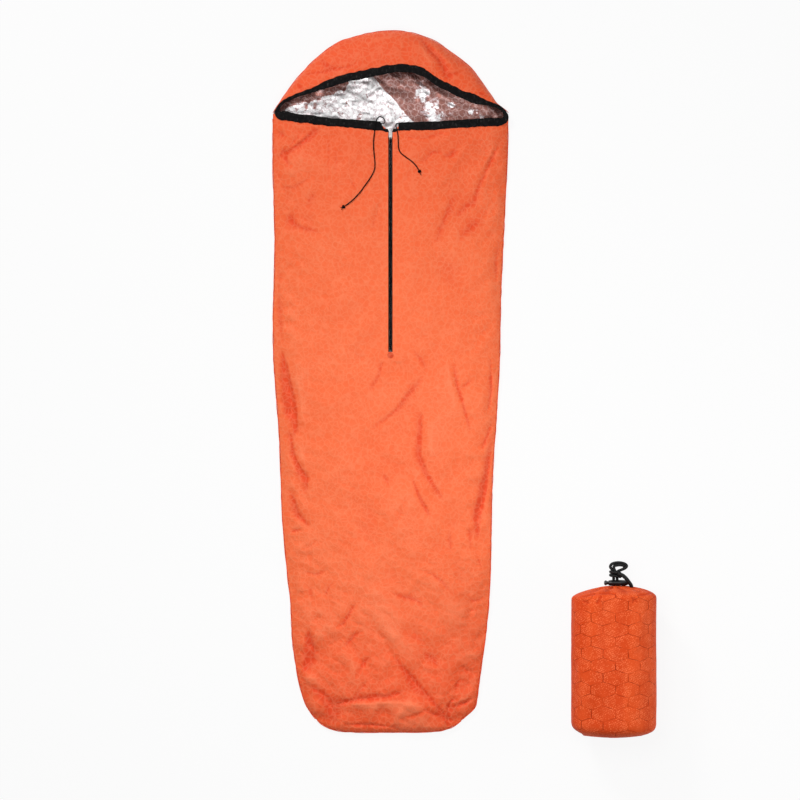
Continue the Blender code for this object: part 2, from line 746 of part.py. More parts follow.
def make_teeth():
    """Two combs whose teeth stand in each other's spaces, with a running clearance on every side."""
    low_y = ZIP_BOTTOM_Y + STOP_LENGTH + 2.0 * GAP
    high_y = SLIDER_TOP_Y - DIVIDER_LENGTH - TEETH_TOP_CLEARANCE
    tooth = TOOTH_PITCH / 2.0 - TOOTH_CLEARANCE
    count = int((high_y - low_y - TOOTH_PITCH) / TOOTH_PITCH)
    middle = chain_middle()
    for name, side, shift in (("zip_teeth_left", -1.0, 0.0), ("zip_teeth_right", 1.0, TOOTH_PITCH / 2.0)):
        outline = [(side * SPINE_INNER, high_y), (side * SPINE_OUTER, high_y), (side * SPINE_OUTER, low_y),
                   (side * SPINE_INNER, low_y)]
        for k in range(count):
            start = low_y + shift + k * TOOTH_PITCH + TOOTH_CLEARANCE
            outline += [(side * SPINE_INNER, start), (-side * TOOTH_REACH, start),
                        (-side * TOOTH_REACH, start + tooth), (side * SPINE_INNER, start + tooth)]
        points, faces = prism(outline, middle - TOOTH_THICK / 2.0, middle + TOOTH_THICK / 2.0)
        add_object(name, points, faces, "black_plastic")


def make_stop():
    """The bottom stop, a clip across both tapes' inner edges, under the last teeth."""
    middle = chain_middle()
    outline = [(-STOP_HALF, ZIP_BOTTOM_Y + GAP), (STOP_HALF, ZIP_BOTTOM_Y + GAP),
               (STOP_HALF, ZIP_BOTTOM_Y + STOP_LENGTH), (-STOP_HALF, ZIP_BOTTOM_Y + STOP_LENGTH)]
    low = middle + LINING / 2.0 + GAP
    points, faces = prism(outline, low, middle + TOOTH_THICK / 2.0)
    add_object("zip_bottom_stop", points, faces, "zip_metal")


def make_patch():
    """The round patch sewn over the zip's lower end."""
    outline = flat_circle(PATCH_RADIUS, ZIP_BOTTOM_Y - PATCH_BELOW, PATCH_SIDES)
    points, faces = prism(outline, CHEST_HEIGHT + GAP, CHEST_HEIGHT + GAP + FABRIC)
    add_object("zip_end_patch", points, faces, "orange_fabric")


def hinge_place():
    """The pull tab's axis, inside the slider's bail."""
    height = chain_middle() + TOOTH_THICK / 2.0 + GAP + SLIDER_PLATE + BAIL_BORE
    return Vector((0.0, SLIDER_TOP_Y - SLIDER_LENGTH / 2.0, height))


def shield(half, top, bottom):
    """A slider plate from above: full width at its shoulders, rounded in at both ends."""
    right = []
    for i in range(PLATE_STEPS):
        t = i / (PLATE_STEPS - 1)
        turn = math.pi * (PLATE_ARC[0] + (PLATE_ARC[1] - PLATE_ARC[0]) * t)
        wide = PLATE_WAIST + (1.0 - PLATE_WAIST) * math.sin(turn) ** PLATE_POWER
        right.append((half * wide, bottom + (top - bottom) * t))
    return right + [(-x, y) for x, y in reversed(right)]


def make_slider():
    """The slider: two plates joined by the divider, with rails that hold the teeth between them."""
    middle = chain_middle()
    clear = TOOTH_THICK / 2.0 + GAP
    top_y = SLIDER_TOP_Y
    bottom_y = SLIDER_TOP_Y - SLIDER_LENGTH
    rail_gap = LINING / 2.0 + GAP
    pieces = []
    outline = shield(SLIDER_HALF, top_y, bottom_y)
    pieces.append(prism(outline, middle + clear, middle + clear + SLIDER_PLATE))
    pieces.append(prism(outline, middle - clear - SLIDER_PLATE, middle - clear))
    low_y, high_y = bottom_y + RAIL_INSET, top_y - RAIL_INSET
    for side in (-1.0, 1.0):
        near, far = sorted((side * RAIL_INNER, side * RAIL_OUTER))
        pieces.append(box_points((near, low_y, middle + rail_gap),
                                 (far, high_y, middle + clear + SLIDER_PLATE / 2.0)))
        pieces.append(box_points((near, low_y, middle - clear - SLIDER_PLATE / 2.0),
                                 (far, high_y, middle - rail_gap)))
    divider = [(0.0, top_y - DIVIDER_LENGTH), (DIVIDER_HALF, top_y - DIVIDER_LENGTH / 2.0),
               (DIVIDER_HALF, top_y - DIVIDER_INSET), (-DIVIDER_HALF, top_y - DIVIDER_INSET),
               (-DIVIDER_HALF, top_y - DIVIDER_LENGTH / 2.0)]
    pieces.append(prism(divider, middle - clear - SLIDER_PLATE / 2.0, middle + clear + SLIDER_PLATE / 2.0))
    hinge = hinge_place()
    foot = hinge.z - BAIL_BORE - SLIDER_PLATE / 2.0
    outer, inner = BAIL_BORE + BAIL_WALL, BAIL_BORE
    turn = [math.pi * k / 8 for k in range(9)]
    arch = [(outer, foot - hinge.z)] + [(outer * math.cos(a), outer * math.sin(a)) for a in turn]
    arch += [(-outer, foot - hinge.z), (-inner, foot - hinge.z)]
    arch += [(inner * math.cos(a), inner * math.sin(a)) for a in reversed(turn)] + [(inner, foot - hinge.z)]
    sections = [[(x, hinge.y + y, hinge.z + z) for y, z in arch] for x in (-BAIL_WIDTH / 2, BAIL_WIDTH / 2)]
    pieces.append(sweep(sections))
    union_object("zip_slider", pieces, "zip_metal", (0.0, hinge.y, middle))


def union_object(name, pieces, finish, origin):
    """One body from overlapping closed shapes."""
    body = None
    for i, (points, faces) in enumerate(pieces):
        thing = add_object(name if i == 0 else name + "_tool", points, faces, finish, origin)
        if i == 0:
            body = thing
            continue
        join = body.modifiers.new("join", "BOOLEAN")
        join.operation = "UNION"
        join.solver = "EXACT"
        join.object = thing
        thing.hide_render = True
        thing.display_type = "WIRE"
    flatten(body)
    for thing in list(bpy.data.objects):
        if thing.name.startswith(name + "_tool"):
            bpy.data.objects.remove(thing, do_unlink=True)
    return body


def cut_object(body, points, faces):
    """Takes a closed shape out of a body."""
    tool = add_object(body.name + "_tool", points, faces, body.data.materials[0].name, body.location)
    cut = body.modifiers.new("cut", "BOOLEAN")
    cut.operation = "DIFFERENCE"
    cut.solver = "EXACT"
    cut.object = tool
    flatten(body)
    bpy.data.objects.remove(tool, do_unlink=True)


def flatten(body):
    """Replaces a body's mesh by the one that its modifiers give."""
    bpy.context.view_layer.update()
    graph = bpy.context.evaluated_depsgraph_get()
    mesh = bpy.data.meshes.new_from_object(body.evaluated_get(graph))
    body.modifiers.clear()
    body.data = mesh


def make_pull_tab():
    """The pull tab, which swings on its bar inside the bail. At rest it lies towards the mouth."""
    hinge = hinge_place()
    window_end = BAIL_BORE + BAIL_WALL + 2.0 * GAP
    tip = TAB_LENGTH
    in_x, in_y = TAB_CORNER
    outline = [(-TAB_HALF, 0.0), (TAB_HALF, 0.0), (TAB_HALF, tip - in_y), (TAB_HALF - in_x, tip),
               (-TAB_HALF + in_x, tip), (-TAB_HALF, tip - in_y)]
    half = TAB_THICK / 2.0
    outline = [(x, hinge.y - TAB_BAR + y) for x, y in outline]
    points, faces = prism(outline, hinge.z - half, hinge.z + half)
    tab = add_object("zip_pull_tab", points, faces, "zip_metal", hinge)
    low = (-TAB_WINDOW_HALF, hinge.y + TAB_BAR, hinge.z - 2 * half)
    high = (TAB_WINDOW_HALF, hinge.y + window_end, hinge.z + 2 * half)
    cut_object(tab, *box_points(low, high))
    ring = flat_circle(TAB_HOLE, hinge.y + tip - TAB_HOLE_FROM_TIP, TAB_HOLE_SIDES)
    cut_object(tab, *prism(ring, hinge.z - 2 * half, hinge.z + 2 * half))


def make_seam_tape(name, outline, first, last):
    """A narrow tape along a stretch of the seam line, outside the panels."""
    sections = []
    for i in range(first, last):
        p = outline[i % len(outline)]
        way = outward(outline, i % len(outline), closed=True)
        section = []
        for out, up in ((GAP, -1.0), (GAP + SEAM_TAPE, -1.0), (GAP + SEAM_TAPE, 1.0), (GAP, 1.0)):
            section.append(Vector((p.x, p.y, SEAM_HEIGHT + up * SEAM_TAPE_HALF)) + way * out)
        sections.append(section)
    points, faces = sweep(sections)
    add_object(name, points, faces, "orange_fabric")


def make_bag():
    rows = row_middles()
    outline, ends = bag_outline(rows)
    front, columns = make_front(rows, outline)
    hood, hood_columns = make_hood(outline)
    inside = FABRIC + GAP
    make_pan("back_panel", outline, 0.0, FABRIC, "orange_fabric")
    make_pan("back_lining", outline, inside, LINING, "silver_foil")
    front.layer("front_panel", 0.0, FABRIC, "orange_fabric", slot_filter(front, columns, rows, ZIP_SLOT_HALF))
    front.layer("front_lining", inside, LINING, "silver_foil", slot_filter(front, columns, rows, TAPE_HALF))
    hood.layer("hood_panel", 0.0, FABRIC, "orange_fabric")
    hood.layer("hood_lining", inside, LINING, "silver_foil")

    half = columns // 2
    near_zip = 2
    left, left_ways = make_binding("chest_binding_left", front, columns, range(1, half - near_zip))
    rest = range(half + near_zip, columns - 1)
    right, right_ways = make_binding("chest_binding_right", front, columns, rest)
    over, over_ways = make_binding("hood_binding", hood, hood_columns, range(1, hood_columns - 1))
    corner_left = make_corner("channel_corner_left", over[0], over_ways[0], left[0], left_ways[0])
    corner_right = make_corner("channel_corner_right", over[-1], over_ways[1], right[-1], right_ways[1])
    inner = list(reversed(left)) + list(reversed(corner_left)) + over + corner_right
    inner += list(reversed(right))
    add_cord("drawcord_in_channel", inner, CORD, "black_cord", 1)
    make_free_cord("drawcord_left", LEFT_ROUTE)
    make_free_cord("drawcord_right", RIGHT_ROUTE)

    make_seam_tape("side_seam_right", outline, 0, ends[0] - 1)
    make_seam_tape("hood_seam", outline, ends[0] + 1, ends[1] - 1)
    make_seam_tape("side_seam_left", outline, ends[1] + 1, ends[2])
    make_seam_tape("foot_seam", outline, ends[2], len(outline))

    make_tapes()
    make_teeth()
    make_stop()
    make_patch()
    make_slider()
    make_pull_tab()


def sack_ring(radius, along, depth=0.0, sides=32, wave=0.0, shift=0.0):
    """A ring of the sack. It is flat where the sack rests on the floor."""
    centre = SACK_RADIUS - SACK_SETTLE
    ring = []
    for k in range(sides):
        angle = 2.0 * math.pi * (k + 0.5) / sides
        ripple = wave * math.cos(PLEATS * angle)
        z = max(depth, centre - radius * math.cos(angle))
        ring.append((SACK_X + shift + radius * math.sin(angle), SACK_BOTTOM_Y + along + ripple, z))
    return ring


def make_sack():
    inner = SACK_RADIUS - FABRIC
    wall_start = SACK_SHOULDER + GAP
    wall_end = SACK_LENGTH - SACK_DOME
    sections = [sack_ring(SACK_RADIUS, wall_start), sack_ring(SACK_RADIUS, wall_end),
                sack_ring(inner, wall_end, FABRIC), sack_ring(inner, wall_start, FABRIC)]
    points, faces = sweep(sections, closed=True)
    add_object("sack_wall", points, faces, "orange_fabric")

    turn = [math.radians(a) for a in (0, 30, 60, 90)]
    flat = SACK_RADIUS - SACK_SHOULDER

    def round_end(depth):
        bend = SACK_SHOULDER - depth
        return [(flat + bend * math.cos(a), SACK_SHOULDER - bend * math.sin(a)) for a in turn]

    outside = [sack_ring(r, s) for r, s in round_end(0.0)]
    inside = [sack_ring(r, s, FABRIC) for r, s in round_end(FABRIC)]
    points, faces = sweep(list(reversed(outside)) + inside)
    add_object("sack_base", points, faces, "orange_fabric")

    band = [sack_ring(inner - GAP, SACK_SHOULDER + s, FABRIC + GAP) for s in (0.0, SEAM_BAND)]
    band += [sack_ring(inner - GAP - SEAM_TAPE, SACK_SHOULDER + s, FABRIC + GAP + SEAM_TAPE)
             for s in (SEAM_BAND, 0.0)]
    points, faces = sweep(band, closed=True)
    add_object("sack_base_seam", points, faces, "orange_fabric")

    make_collar()
    make_hem()

    clear = FABRIC + SEAM_TAPE + 2.0 * GAP
    radius = SACK_RADIUS - clear
    narrow = radius - BUNDLE_ROUND
    bundle = [sack_ring(narrow, clear, clear), sack_ring(radius, clear + BUNDLE_ROUND, clear),
              sack_ring(radius, wall_end - BUNDLE_ROUND, clear), sack_ring(narrow, wall_end, clear)]
    points, faces = sweep(bundle)
    add_object("packed_bundle", points, faces, "folded_film")


def dome_rise(share):
    """How far the sack's gathered end stands out at a share of its radius."""
    return SACK_DOME * (1.0 - share ** SACK_DOME_POWER) ** SACK_DOME_ROOT


def make_collar():
    """The sack's gathered end: it domes over the bundle and closes in pleats on the mouth."""
    sides = 3 * PLEATS
    start = SACK_LENGTH - SACK_DOME
    mouth = SACK_MOUTH / SACK_RADIUS
    profile = [(SACK_RADIUS, start + GAP)]
    profile += [(SACK_RADIUS * s, start + GAP + dome_rise(s)) for s in COLLAR_SHARES + (mouth,)]
    outside, inside = [], []
    for i, (r, s) in enumerate(profile):
        before, after = profile[max(i - 1, 0)], profile[min(i + 1, len(profile) - 1)]
        slope = math.atan2(after[1] - before[1], before[0] - after[0]) if i > 0 else math.pi / 2.0
        closeness = (SACK_RADIUS - r) / (SACK_RADIUS - SACK_MOUTH)
        wave = PLEAT_DEPTH / 2.0 * closeness ** PLEAT_GROWTH
        shift = SACK_MOUTH_SHIFT * closeness ** 2
        outside.append(sack_ring(r, s, 0.0, sides, wave, shift))
        inner_r, inner_s = r - FABRIC * math.sin(slope), s - FABRIC * math.cos(slope)
        inside.append(sack_ring(inner_r, inner_s, FABRIC, sides, wave, shift))
    points, faces = sweep(outside + list(reversed(inside)), closed=True)
    add_object("sack_collar", points, faces, "orange_fabric")


def make_hem():
    """The mouth's hem, drawn tight around the two strands of the cord."""
    sides = 2 * PLEATS
    base = SACK_LENGTH - HEM_SUNK
    outer = SACK_MOUTH - GAP
    middle = mouth_middle()

    def ring(radius, along, flute):
        points = []
        for k in range(sides):
            angle = 2.0 * math.pi * k / sides
            r = radius * (1.0 - flute * (k % 2))
            x, z = middle.x + r * math.sin(angle), middle.z - r * math.cos(angle)
            points.append((x, SACK_BOTTOM_Y + along, z))
        return points

    sections = [ring(outer * wide, base + along * HEM_LENGTH, flute) for wide, along, flute in HEM_PROFILE]
    sections += [ring(HEM_BORE, base + HEM_LENGTH, 0.0), ring(HEM_BORE, base, 0.0)]
    points, faces = sweep(sections, closed=True)
    add_object("sack_hem", points, faces, "orange_fabric")


def mouth_middle():
    """The middle of the sack's mouth, at the tip of its dome."""
    return Vector((SACK_X + SACK_MOUTH_SHIFT, SACK_BOTTOM_Y + SACK_LENGTH, SACK_RADIUS - SACK_SETTLE))


def lock_centre():
    """The middle of the cord lock, which stands against the hem."""
    return mouth_middle() + Vector((0.0, HEM_LENGTH - HEM_SUNK + GAP + LOCK_DEPTH / 2.0, 0.0))


def oval(half_y, half_z, x, centre, sides=16):
    return [(centre.x + x, centre.y + half_y * math.sin(2 * math.pi * k / sides),
             centre.z + half_z * math.cos(2 * math.pi * k / sides)) for k in range(sides)]


def make_lock():
    """The cord lock: an oval barrel, a button that slides in it against a spring, and a slot for the cord."""
    centre = lock_centre()
    half_y, half_z = LOCK_DEPTH / 2.0, LOCK_HEIGHT / 2.0
    slot_half = STRAND_HALF_SPACING + SACK_CORD / 2.0 + GAP
    slot_high = SACK_CORD / 2.0 + GAP
    left, right = LOCK_SHIFT - LOCK_LENGTH / 2.0, LOCK_SHIFT + LOCK_LENGTH / 2.0
    outer = [oval(half_y * s, half_z * s, right - x, centre) for x, s in LOCK_END_PROFILE]
    outer += [oval(half_y * s, half_z * s, left + x, centre) for x, s in LOCK_MOUTH_PROFILE]
    mouth = LOCK_MOUTH_PROFILE[-1][1] * half_y - LOCK_MOUTH_RIM
    bore_y, bore_z = min(half_y - LOCK_WALL, mouth), BORE_FLATNESS * (half_z - LOCK_WALL)
    bore_end = right - LOCK_END_WALL
    bore = [oval(bore_y, bore_z, x, centre) for x in (left, bore_end)]
    points, faces = sweep(outer + bore)
    body = add_object("cord_lock_body", points, faces, "black_plastic", centre)
    slot_low = (centre.x - slot_half, centre.y - LOCK_DEPTH, centre.z - slot_high)
    slot_top = (centre.x + slot_half, centre.y + LOCK_DEPTH, centre.z + slot_high)
    cut_object(body, *box_points(slot_low, slot_top))

    stem_y, stem_z = bore_y - STEM_CLEARANCE, bore_z - STEM_CLEARANCE
    stem_end = slot_half + STEM_END
    cap = left - LOCK_TRAVEL - GAP
    button = [oval(stem_y, stem_z, stem_end, centre), oval(stem_y, stem_z, cap, centre)]
    button += [oval(half_y * y, half_z * z, cap - x, centre) for x, y, z in BUTTON_PROFILE]
    points, faces = sweep(button)
    plunger = add_object("cord_lock_button", points, faces, "black_plastic", centre)
    low = (centre.x - slot_half - LOCK_TRAVEL, centre.y - LOCK_DEPTH, centre.z - slot_high)
    cut_object(plunger, *box_points(low, slot_top))

    start, end = stem_end + SPRING_WIRE / 2.0 + GAP, bore_end - SPRING_WIRE / 2.0 - GAP
    coil = []
    steps = SPRING_TURNS * SPRING_SIDES
    for i in range(steps + 1):
        angle = 2.0 * math.pi * i / SPRING_SIDES
        x = start + (end - start) * i / steps
        coil.append(centre + Vector((x, SPRING_RADIUS * math.cos(angle), SPRING_RADIUS * math.sin(angle))))
    add_cord("cord_lock_spring", coil, SPRING_WIRE, "spring_steel", 1)
    print_own_gap("cord_lock_spring", coil, SPRING_WIRE)


def make_sack_cord():
    """The sack's cord: out of the hem, through the lock and a wrapped knot, round its loop and back."""
    start = mouth_middle()
    route = [start + Vector(p) for p in SACK_ROUTE]
    line = smooth_route(route, SACK_CORD_SPACING * SACK_CORD)
    add_cord("sack_cord", line, SACK_CORD, "black_cord")
    print_own_gap("sack_cord", line, SACK_CORD)
    radius = STRAND_HALF_SPACING + SACK_CORD + 2.0 * GAP
    knot_start = lock_centre().y + LOCK_DEPTH / 2.0 + LOCK_RUN + SACK_CORD / 2.0 + GAP
    steps = round(WRAP_TURNS * WRAP_SIDES)
    wrap = []
    for i in range(steps + 1):
        angle = 2.0 * math.pi * WRAP_TURNS * i / steps
        y = knot_start + WRAP_PITCH * WRAP_TURNS * i / steps
        wrap.append(Vector((start.x + radius * math.cos(angle), y, start.z + radius * math.sin(angle))))
    add_cord("sack_cord_knot", wrap, SACK_CORD, "black_cord")
    print_own_gap("sack_cord_knot", wrap, SACK_CORD)


def main():
    clear_scene()
    make_bag()
    make_sack()
    make_lock()
    make_sack_cord()


main()
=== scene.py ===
"""Looks of the emergency sleeping bag and its stuff sack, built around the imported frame.

Metres, +Z up. The bag lies flat on the floor, its hood towards +Y, and the sack lies beside it at +X.
"""

import math

import bpy
import numpy as np
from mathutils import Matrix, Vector


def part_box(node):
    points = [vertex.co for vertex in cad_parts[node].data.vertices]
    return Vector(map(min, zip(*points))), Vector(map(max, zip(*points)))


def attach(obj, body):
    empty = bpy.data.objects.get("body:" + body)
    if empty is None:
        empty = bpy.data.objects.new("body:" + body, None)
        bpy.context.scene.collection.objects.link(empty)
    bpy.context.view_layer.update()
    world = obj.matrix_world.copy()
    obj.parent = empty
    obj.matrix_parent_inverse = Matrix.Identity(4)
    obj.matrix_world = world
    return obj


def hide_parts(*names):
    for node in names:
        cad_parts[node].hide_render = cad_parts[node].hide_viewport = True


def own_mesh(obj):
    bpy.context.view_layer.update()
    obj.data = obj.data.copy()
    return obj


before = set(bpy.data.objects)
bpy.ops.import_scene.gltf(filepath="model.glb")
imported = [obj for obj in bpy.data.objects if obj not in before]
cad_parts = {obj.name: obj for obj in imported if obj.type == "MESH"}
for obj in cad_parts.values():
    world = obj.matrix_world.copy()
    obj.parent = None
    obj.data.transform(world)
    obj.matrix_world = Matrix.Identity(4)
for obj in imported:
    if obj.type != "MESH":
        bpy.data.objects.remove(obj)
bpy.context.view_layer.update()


def metres(rows):
    """A table written in millimetres."""
    return [tuple(round(value / 1000.0, 6) for value in row) for row in rows]


def folds(rows):
    """Folds written in millimetres: height (below 0 for a groove), reach to the left and right, the line."""
    return [(np.array(metres(zip(row[3::2], row[4::2]))), *metres([row[:3]])[0]) for row in rows]


# Camera, over the middle of the photograph
VIEW_CENTRE = (0.0285, -0.0584)
VIEW_SPAN = 2.3966
VIEW_HEIGHT = 15.0
SENSOR = 36.0

# Lamps: name, place, aim, size and power
LAMPS = [("key", (-2.9, 4.9, 4.6), (0.1, -0.1, 0.0), 1.6, 284.0),
         ("top", (0.20, -0.38, 2.1), (0.20, -0.38, 0.0), 0.8, 20.5),
         ("side", (2.7, -0.90, 1.0), (0.75, -0.85, 0.12), 0.7, 15.0)]
WORLD_LEVEL = 0.25
FLOOR_GREY = 0.80
FLOOR_WHITE = 0.90
FLOOR_HALF = 30.0
FLOOR_Z = -0.0005

# Cloth layers
CLOTH = 0.0006
FOIL_DEPTH = 0.0016
FOIL = 0.0004
TAPE_THICK = 0.0007
SACK_THICK = 0.0008

# Outline of the bag in mm, from the foot to the shoulders: Y along the side, then X of the seam
SHOULDER_HALF = 0.352
SHOULDER_Y = 0.783
LEFT_SEAM = metres([(-1013, -224), (-999, -236), (-987, -246), (-957, -260), (-897, -276), (-837, -286),
                    (-777, -294), (-658, -299), (-598, -307), (-538, -313), (-418, -324), (-300, -328),
                    (-178, -332), (-58, -341), (60, -350), (180, -352), (300, -348), (420, -346),
                    (540, -349), (630, -352), (783, -352)])
RIGHT_SEAM = metres([(-1013, 216), (-999, 235), (-987, 250), (-975, 256), (-950, 260), (-897, 266),
                     (-837, 275), (-777, 284), (-687, 293), (-598, 299), (-478, 301), (-358, 303),
                     (-238, 308), (-118, 317), (60, 327), (240, 330), (360, 335), (480, 341), (600, 347),
                     (700, 351), (783, 352)])
FOOT_Y = -1.0535
FOOT_CORNER_Y = -1.013
FOOT_BEND = 6.0
HOOD_TOP_Y = 1.050
HOOD_BASE_Y = 0.801
HOOD_RIM_POWER = 0.86
HOOD_RIGHT_SHARE = 0.955

# Heights, as in the frame
SEAM_HEIGHT = 0.008
CHEST_HEIGHT = 0.060
FOOT_HEIGHT = 0.036
HOOD_HEIGHT = 0.085
CROWN_POWER = 2.4
CROWN_ROOT = 0.6
EDGE_BLEND = 3.0
LEVEL_END_Y = 0.02
LOW_START_Y = -0.86
FOOT_ROUND = 0.16
LEAST_RISE = 0.30

# Mouth and binding
CHEST_EDGE_Y = 0.760
HOOD_EDGE_Y = 0.930
HOOD_CORNER_Y = 0.8090
HOOD_CORNER_HALF = 0.344
HOOD_END = 0.985
HOOD_SIDE_POWER = 0.9
HOOD_BACK_POWER = 1.45
STACK = 0.0021
LIP = 0.0145
CHANNEL = 0.0078
BINDING_OUT = 0.0023
BINDING_START = 0.024
LAYER_GAP = 0.0014
CORD_IN_TAPE = 0.0066
TAPE_SIDE = [(-1.0, 0.9), (-0.55, 1.0), (0.0, 1.05), (0.35, 1.15)]
TAPE_NOSE = (75, 45, 15, -15, -45, -75)
CHEST_TAPE_ENDS = (-0.322, 0.326)
HOOD_TAPE_HALF = 0.313
LIP_RUFFLE = (0.0016, 0.0009)
CHANNEL_RUFFLE = (0.0012, 0.0007)
PUFF_RUFFLE = 0.0009
TURN_PULLS = (0.034, 0.044)
TURN_OVERLAP = 0.004
TURN_DEPTH = 0.0036
TURN_SWELL = 0.0012
SEAM_OUT = 0.0007
SEAM_HALF_WIDE = 0.0010
SEAM_HALF_HIGH = 0.0026
SEAM_WAVE = 0.0008
SEAM_RUFFLE = 0.0006

# How far the mouth's edges lie from those of the frame, towards the hood, in mm: X, then the shift
HOOD_SHIFT = metres([(-344, 4), (-319, 9.6), (-283, 9), (-247, 1), (-211, -3), (-175, -3), (-139, -5),
                     (-103, -7.5), (-67, -8.5), (-31, -8.5), (4, -3), (40, 3), (76, 5), (100, 2), (120, -7),
                     (148, -17), (184, -20.5), (220, -23.5), (256, -18.5), (292, -10.5), (328, -3),
                     (344, 0)])
RIM_SHIFT = metres([(-352, 0), (-190, 0), (-150, 1), (-115, -5), (-80, -6), (-45, -5), (0, -3), (30, -3),
                    (65, -4), (100, -6), (136, -5), (170, -8), (210, -5), (245, 2), (280, -3), (352, 0)])
CHEST_SHIFT = metres([(-352, 16), (-319, 15.5), (-283, 11.5), (-247, 11.5), (-211, 9), (-175, 7.5),
                      (-139, 6.6), (-103, 5), (-67, 3), (-31.5, 1.5), (0, 0), (250, 0), (328, -4),
                      (352, -4)])

# Zip
ZIP_BOTTOM_Y = 0.085
SLOT_HALF = 0.0062
SLOT_DIPS = (0.013, 0.016)
NEAR_ZIP = (0.0, 0.0035, SLOT_HALF, 0.0085, 0.011, 0.015, 0.019, BINDING_START)
TAPE_HALF = 0.0147
TAPE_INNER = 0.0031
TAPE_DROP = 0.0013
TAPE_TOP_Y = 0.751
TAPE_FLARE_Y = 0.739
TAPE_FLARE = 0.0050
TAPE_SPREADS = (0.0040, 0.0105)
TAPE_CURL = 0.0030
TAPE_LIFT = 0.0022
COIL_PITCH = 0.0016
COIL_WIRE = 0.00034
COIL_X = (0.0010, 0.0017)
COIL_RADIUS = 0.0010
COIL_DROP = 0.0004
PATCH_DROP = 0.010
PATCH_RINGS = metres([(0.4, 1.1), (3, 1.1), (6.2, 1), (7.2, 0.6), (8, 1), (9, 0.7), (9.2, 0.1)])

# Free cords: routes seen from above, as in the frame, in mm. A tail is its lean and its length
CORD = 0.0022
CORD_SEEN = 0.0034
CORD_STEP = 0.0035
CORD_CLEAR = 0.0009
CORD_ON_TAPE = 0.0011
CORD_PAST_EDGE = 0.0032
EDGE_CLEAR = 0.003
LIP_REACH = 0.014
LEFT_ROUTE = metres([(-23.7, 766.7), (-20.8, 766.8), (-17.2, 769.5), (-17.5, 777), (-22.5, 784),
                     (-30, 786.8), (-36.5, 784.5), (-41, 777.5), (-45.5, 760), (-47.5, 740), (-50.2, 715),
                     (-50, 690), (-47.5, 664), (-46.2, 642), (-50, 622.5), (-62, 601), (-77, 580),
                     (-91.5, 560), (-107, 543), (-123, 529), (-135, 521)])
RIGHT_ROUTE = metres([(23.7, 766.7), (20.8, 766.8), (17.2, 765.2), (16.5, 759), (19.5, 748), (22.5, 730),
                      (23.4, 712), (24.3, 694), (30.5, 679), (47.5, 665), (64, 653), (76.5, 640), (84, 628)])
LEFT_TAILS = [(0.42, 0.0075), (-0.30, 0.0065)]
RIGHT_TAILS = [(-0.12, 0.0100)]
KNOT_STEP = 0.0046
KNOT_LIFT = 0.0026
KNOT_RADIUS = 0.0030
KNOT_DEPTH = 0.0014
KNOT_STRAND = 0.0013
TAIL_STRAND = 0.0010
TAIL_START = 0.003
TAIL_STEP = 0.0008

# Stuff sack. The cord's routes are in mm from the middle of the mouth
SACK_X = 0.6605
SACK_SEEN_X = 0.6640
SACK_SEEN_RADIUS = 0.1265
SACK_BOTTOM_Y = -1.061
SACK_LENGTH = 0.446
SACK_RADIUS = 0.1255
SACK_SETTLE = 0.003
SACK_DOME = 0.033
SACK_DOME_POWER = 2.6
SACK_DOME_ROOT = 0.42
SACK_MOUTH = 0.0200
SACK_MOUTH_SHIFT = 0.008
SACK_SIDES = 260
SACK_CORD = 0.0088
SACK_CORD_STEP = 0.0022
SACK_CURL_THICK = 0.0115
SACK_KNOT_RADIUS = 0.0052 + SACK_CORD + 0.0006
SACK_KNOT_LONG = 0.015
PLEATS = 14
PLEAT_HEIGHT = 0.0045
GATHER_HEIGHT = 0.0020
SACK_SUNK = (0.0075, 0.0050)
BUNDLE_ENDS = (0.004, 0.012)
BUNDLE_INSET = 0.008
HEM_RADIUS = 0.0197
HEM_PROFILE = [(0.93, 0.0), (0.97, 0.35), (1.0, 0.66), (0.93, 0.86), (0.80, 1.0), (0.64, 0.98), (0.56, 0.85),
               (0.55, 0.0)]
BASE_PROFILE = [(0.02, 0.0), (0.2, 0.0008), (0.4, 0.0024), (0.52, 0.0040), (0.67, 0.0068), (0.81, 0.0120),
                (0.90, 0.0175), (0.95, 0.0225), (0.985, 0.0300), (1.0, 0.0400)]
SPRING_TURNS = 6
SPRING_WIRE = 0.00055
SACK_SECOND = metres([(0, 40, 4), (-1, 48, 5), (-4.5, 56, 3), (-3.5, 62.5, -3), (5, 65.5, -8), (16, 66, -10),
                      (25, 64, -10), (27, 60, -7)])
SACK_CURL = metres([(8, 40, 14), (20, 36.5, 21), (30, 28, 24), (38, 18, 23.5), (45, 8, 18), (47.5, 1, 8),
                    (47.5, -4, 1)])
SACK_ROUTE = metres([(-5.2, -4, 0), (-5.2, 21.5, 0), (-5.2, 45, 0), (-5.6, 49.5, 0), (-11.5, 55, -1),
                     (-15, 62, -4), (-10, 69, -8), (1, 72.5, -11), (14, 73, -12), (27, 70, -11),
                     (34, 64, -8), (30, 57.5, -5), (18, 52, -2), (8, 48, 0), (5.4, 43, 0), (5.2, 21.5, 0),
                     (5.2, -4, 0)])
# Small tucks seen below the mouth: the two ends, half width and depth
SACK_TUCKS = [(0.620, -0.638, 0.6096, -0.656, 0.0028, 3.0), (0.568, -0.648, 0.581, -0.655, 0.0030, 1.6),
              (0.568, -0.634, 0.598, -0.629, 0.0026, 1.2), (0.598, -0.629, 0.646, -0.628, 0.0024, 1.0),
              (0.646, -0.628, 0.664, -0.632, 0.0026, 1.2), (0.732, -0.634, 0.777, -0.631, 0.0026, 1.2),
              (0.714, -0.641, 0.728, -0.652, 0.0030, 1.4), (0.722, -0.640, 0.716, -0.655, 0.0026, 1.2)]
TUCK_DEPTH = 0.0022

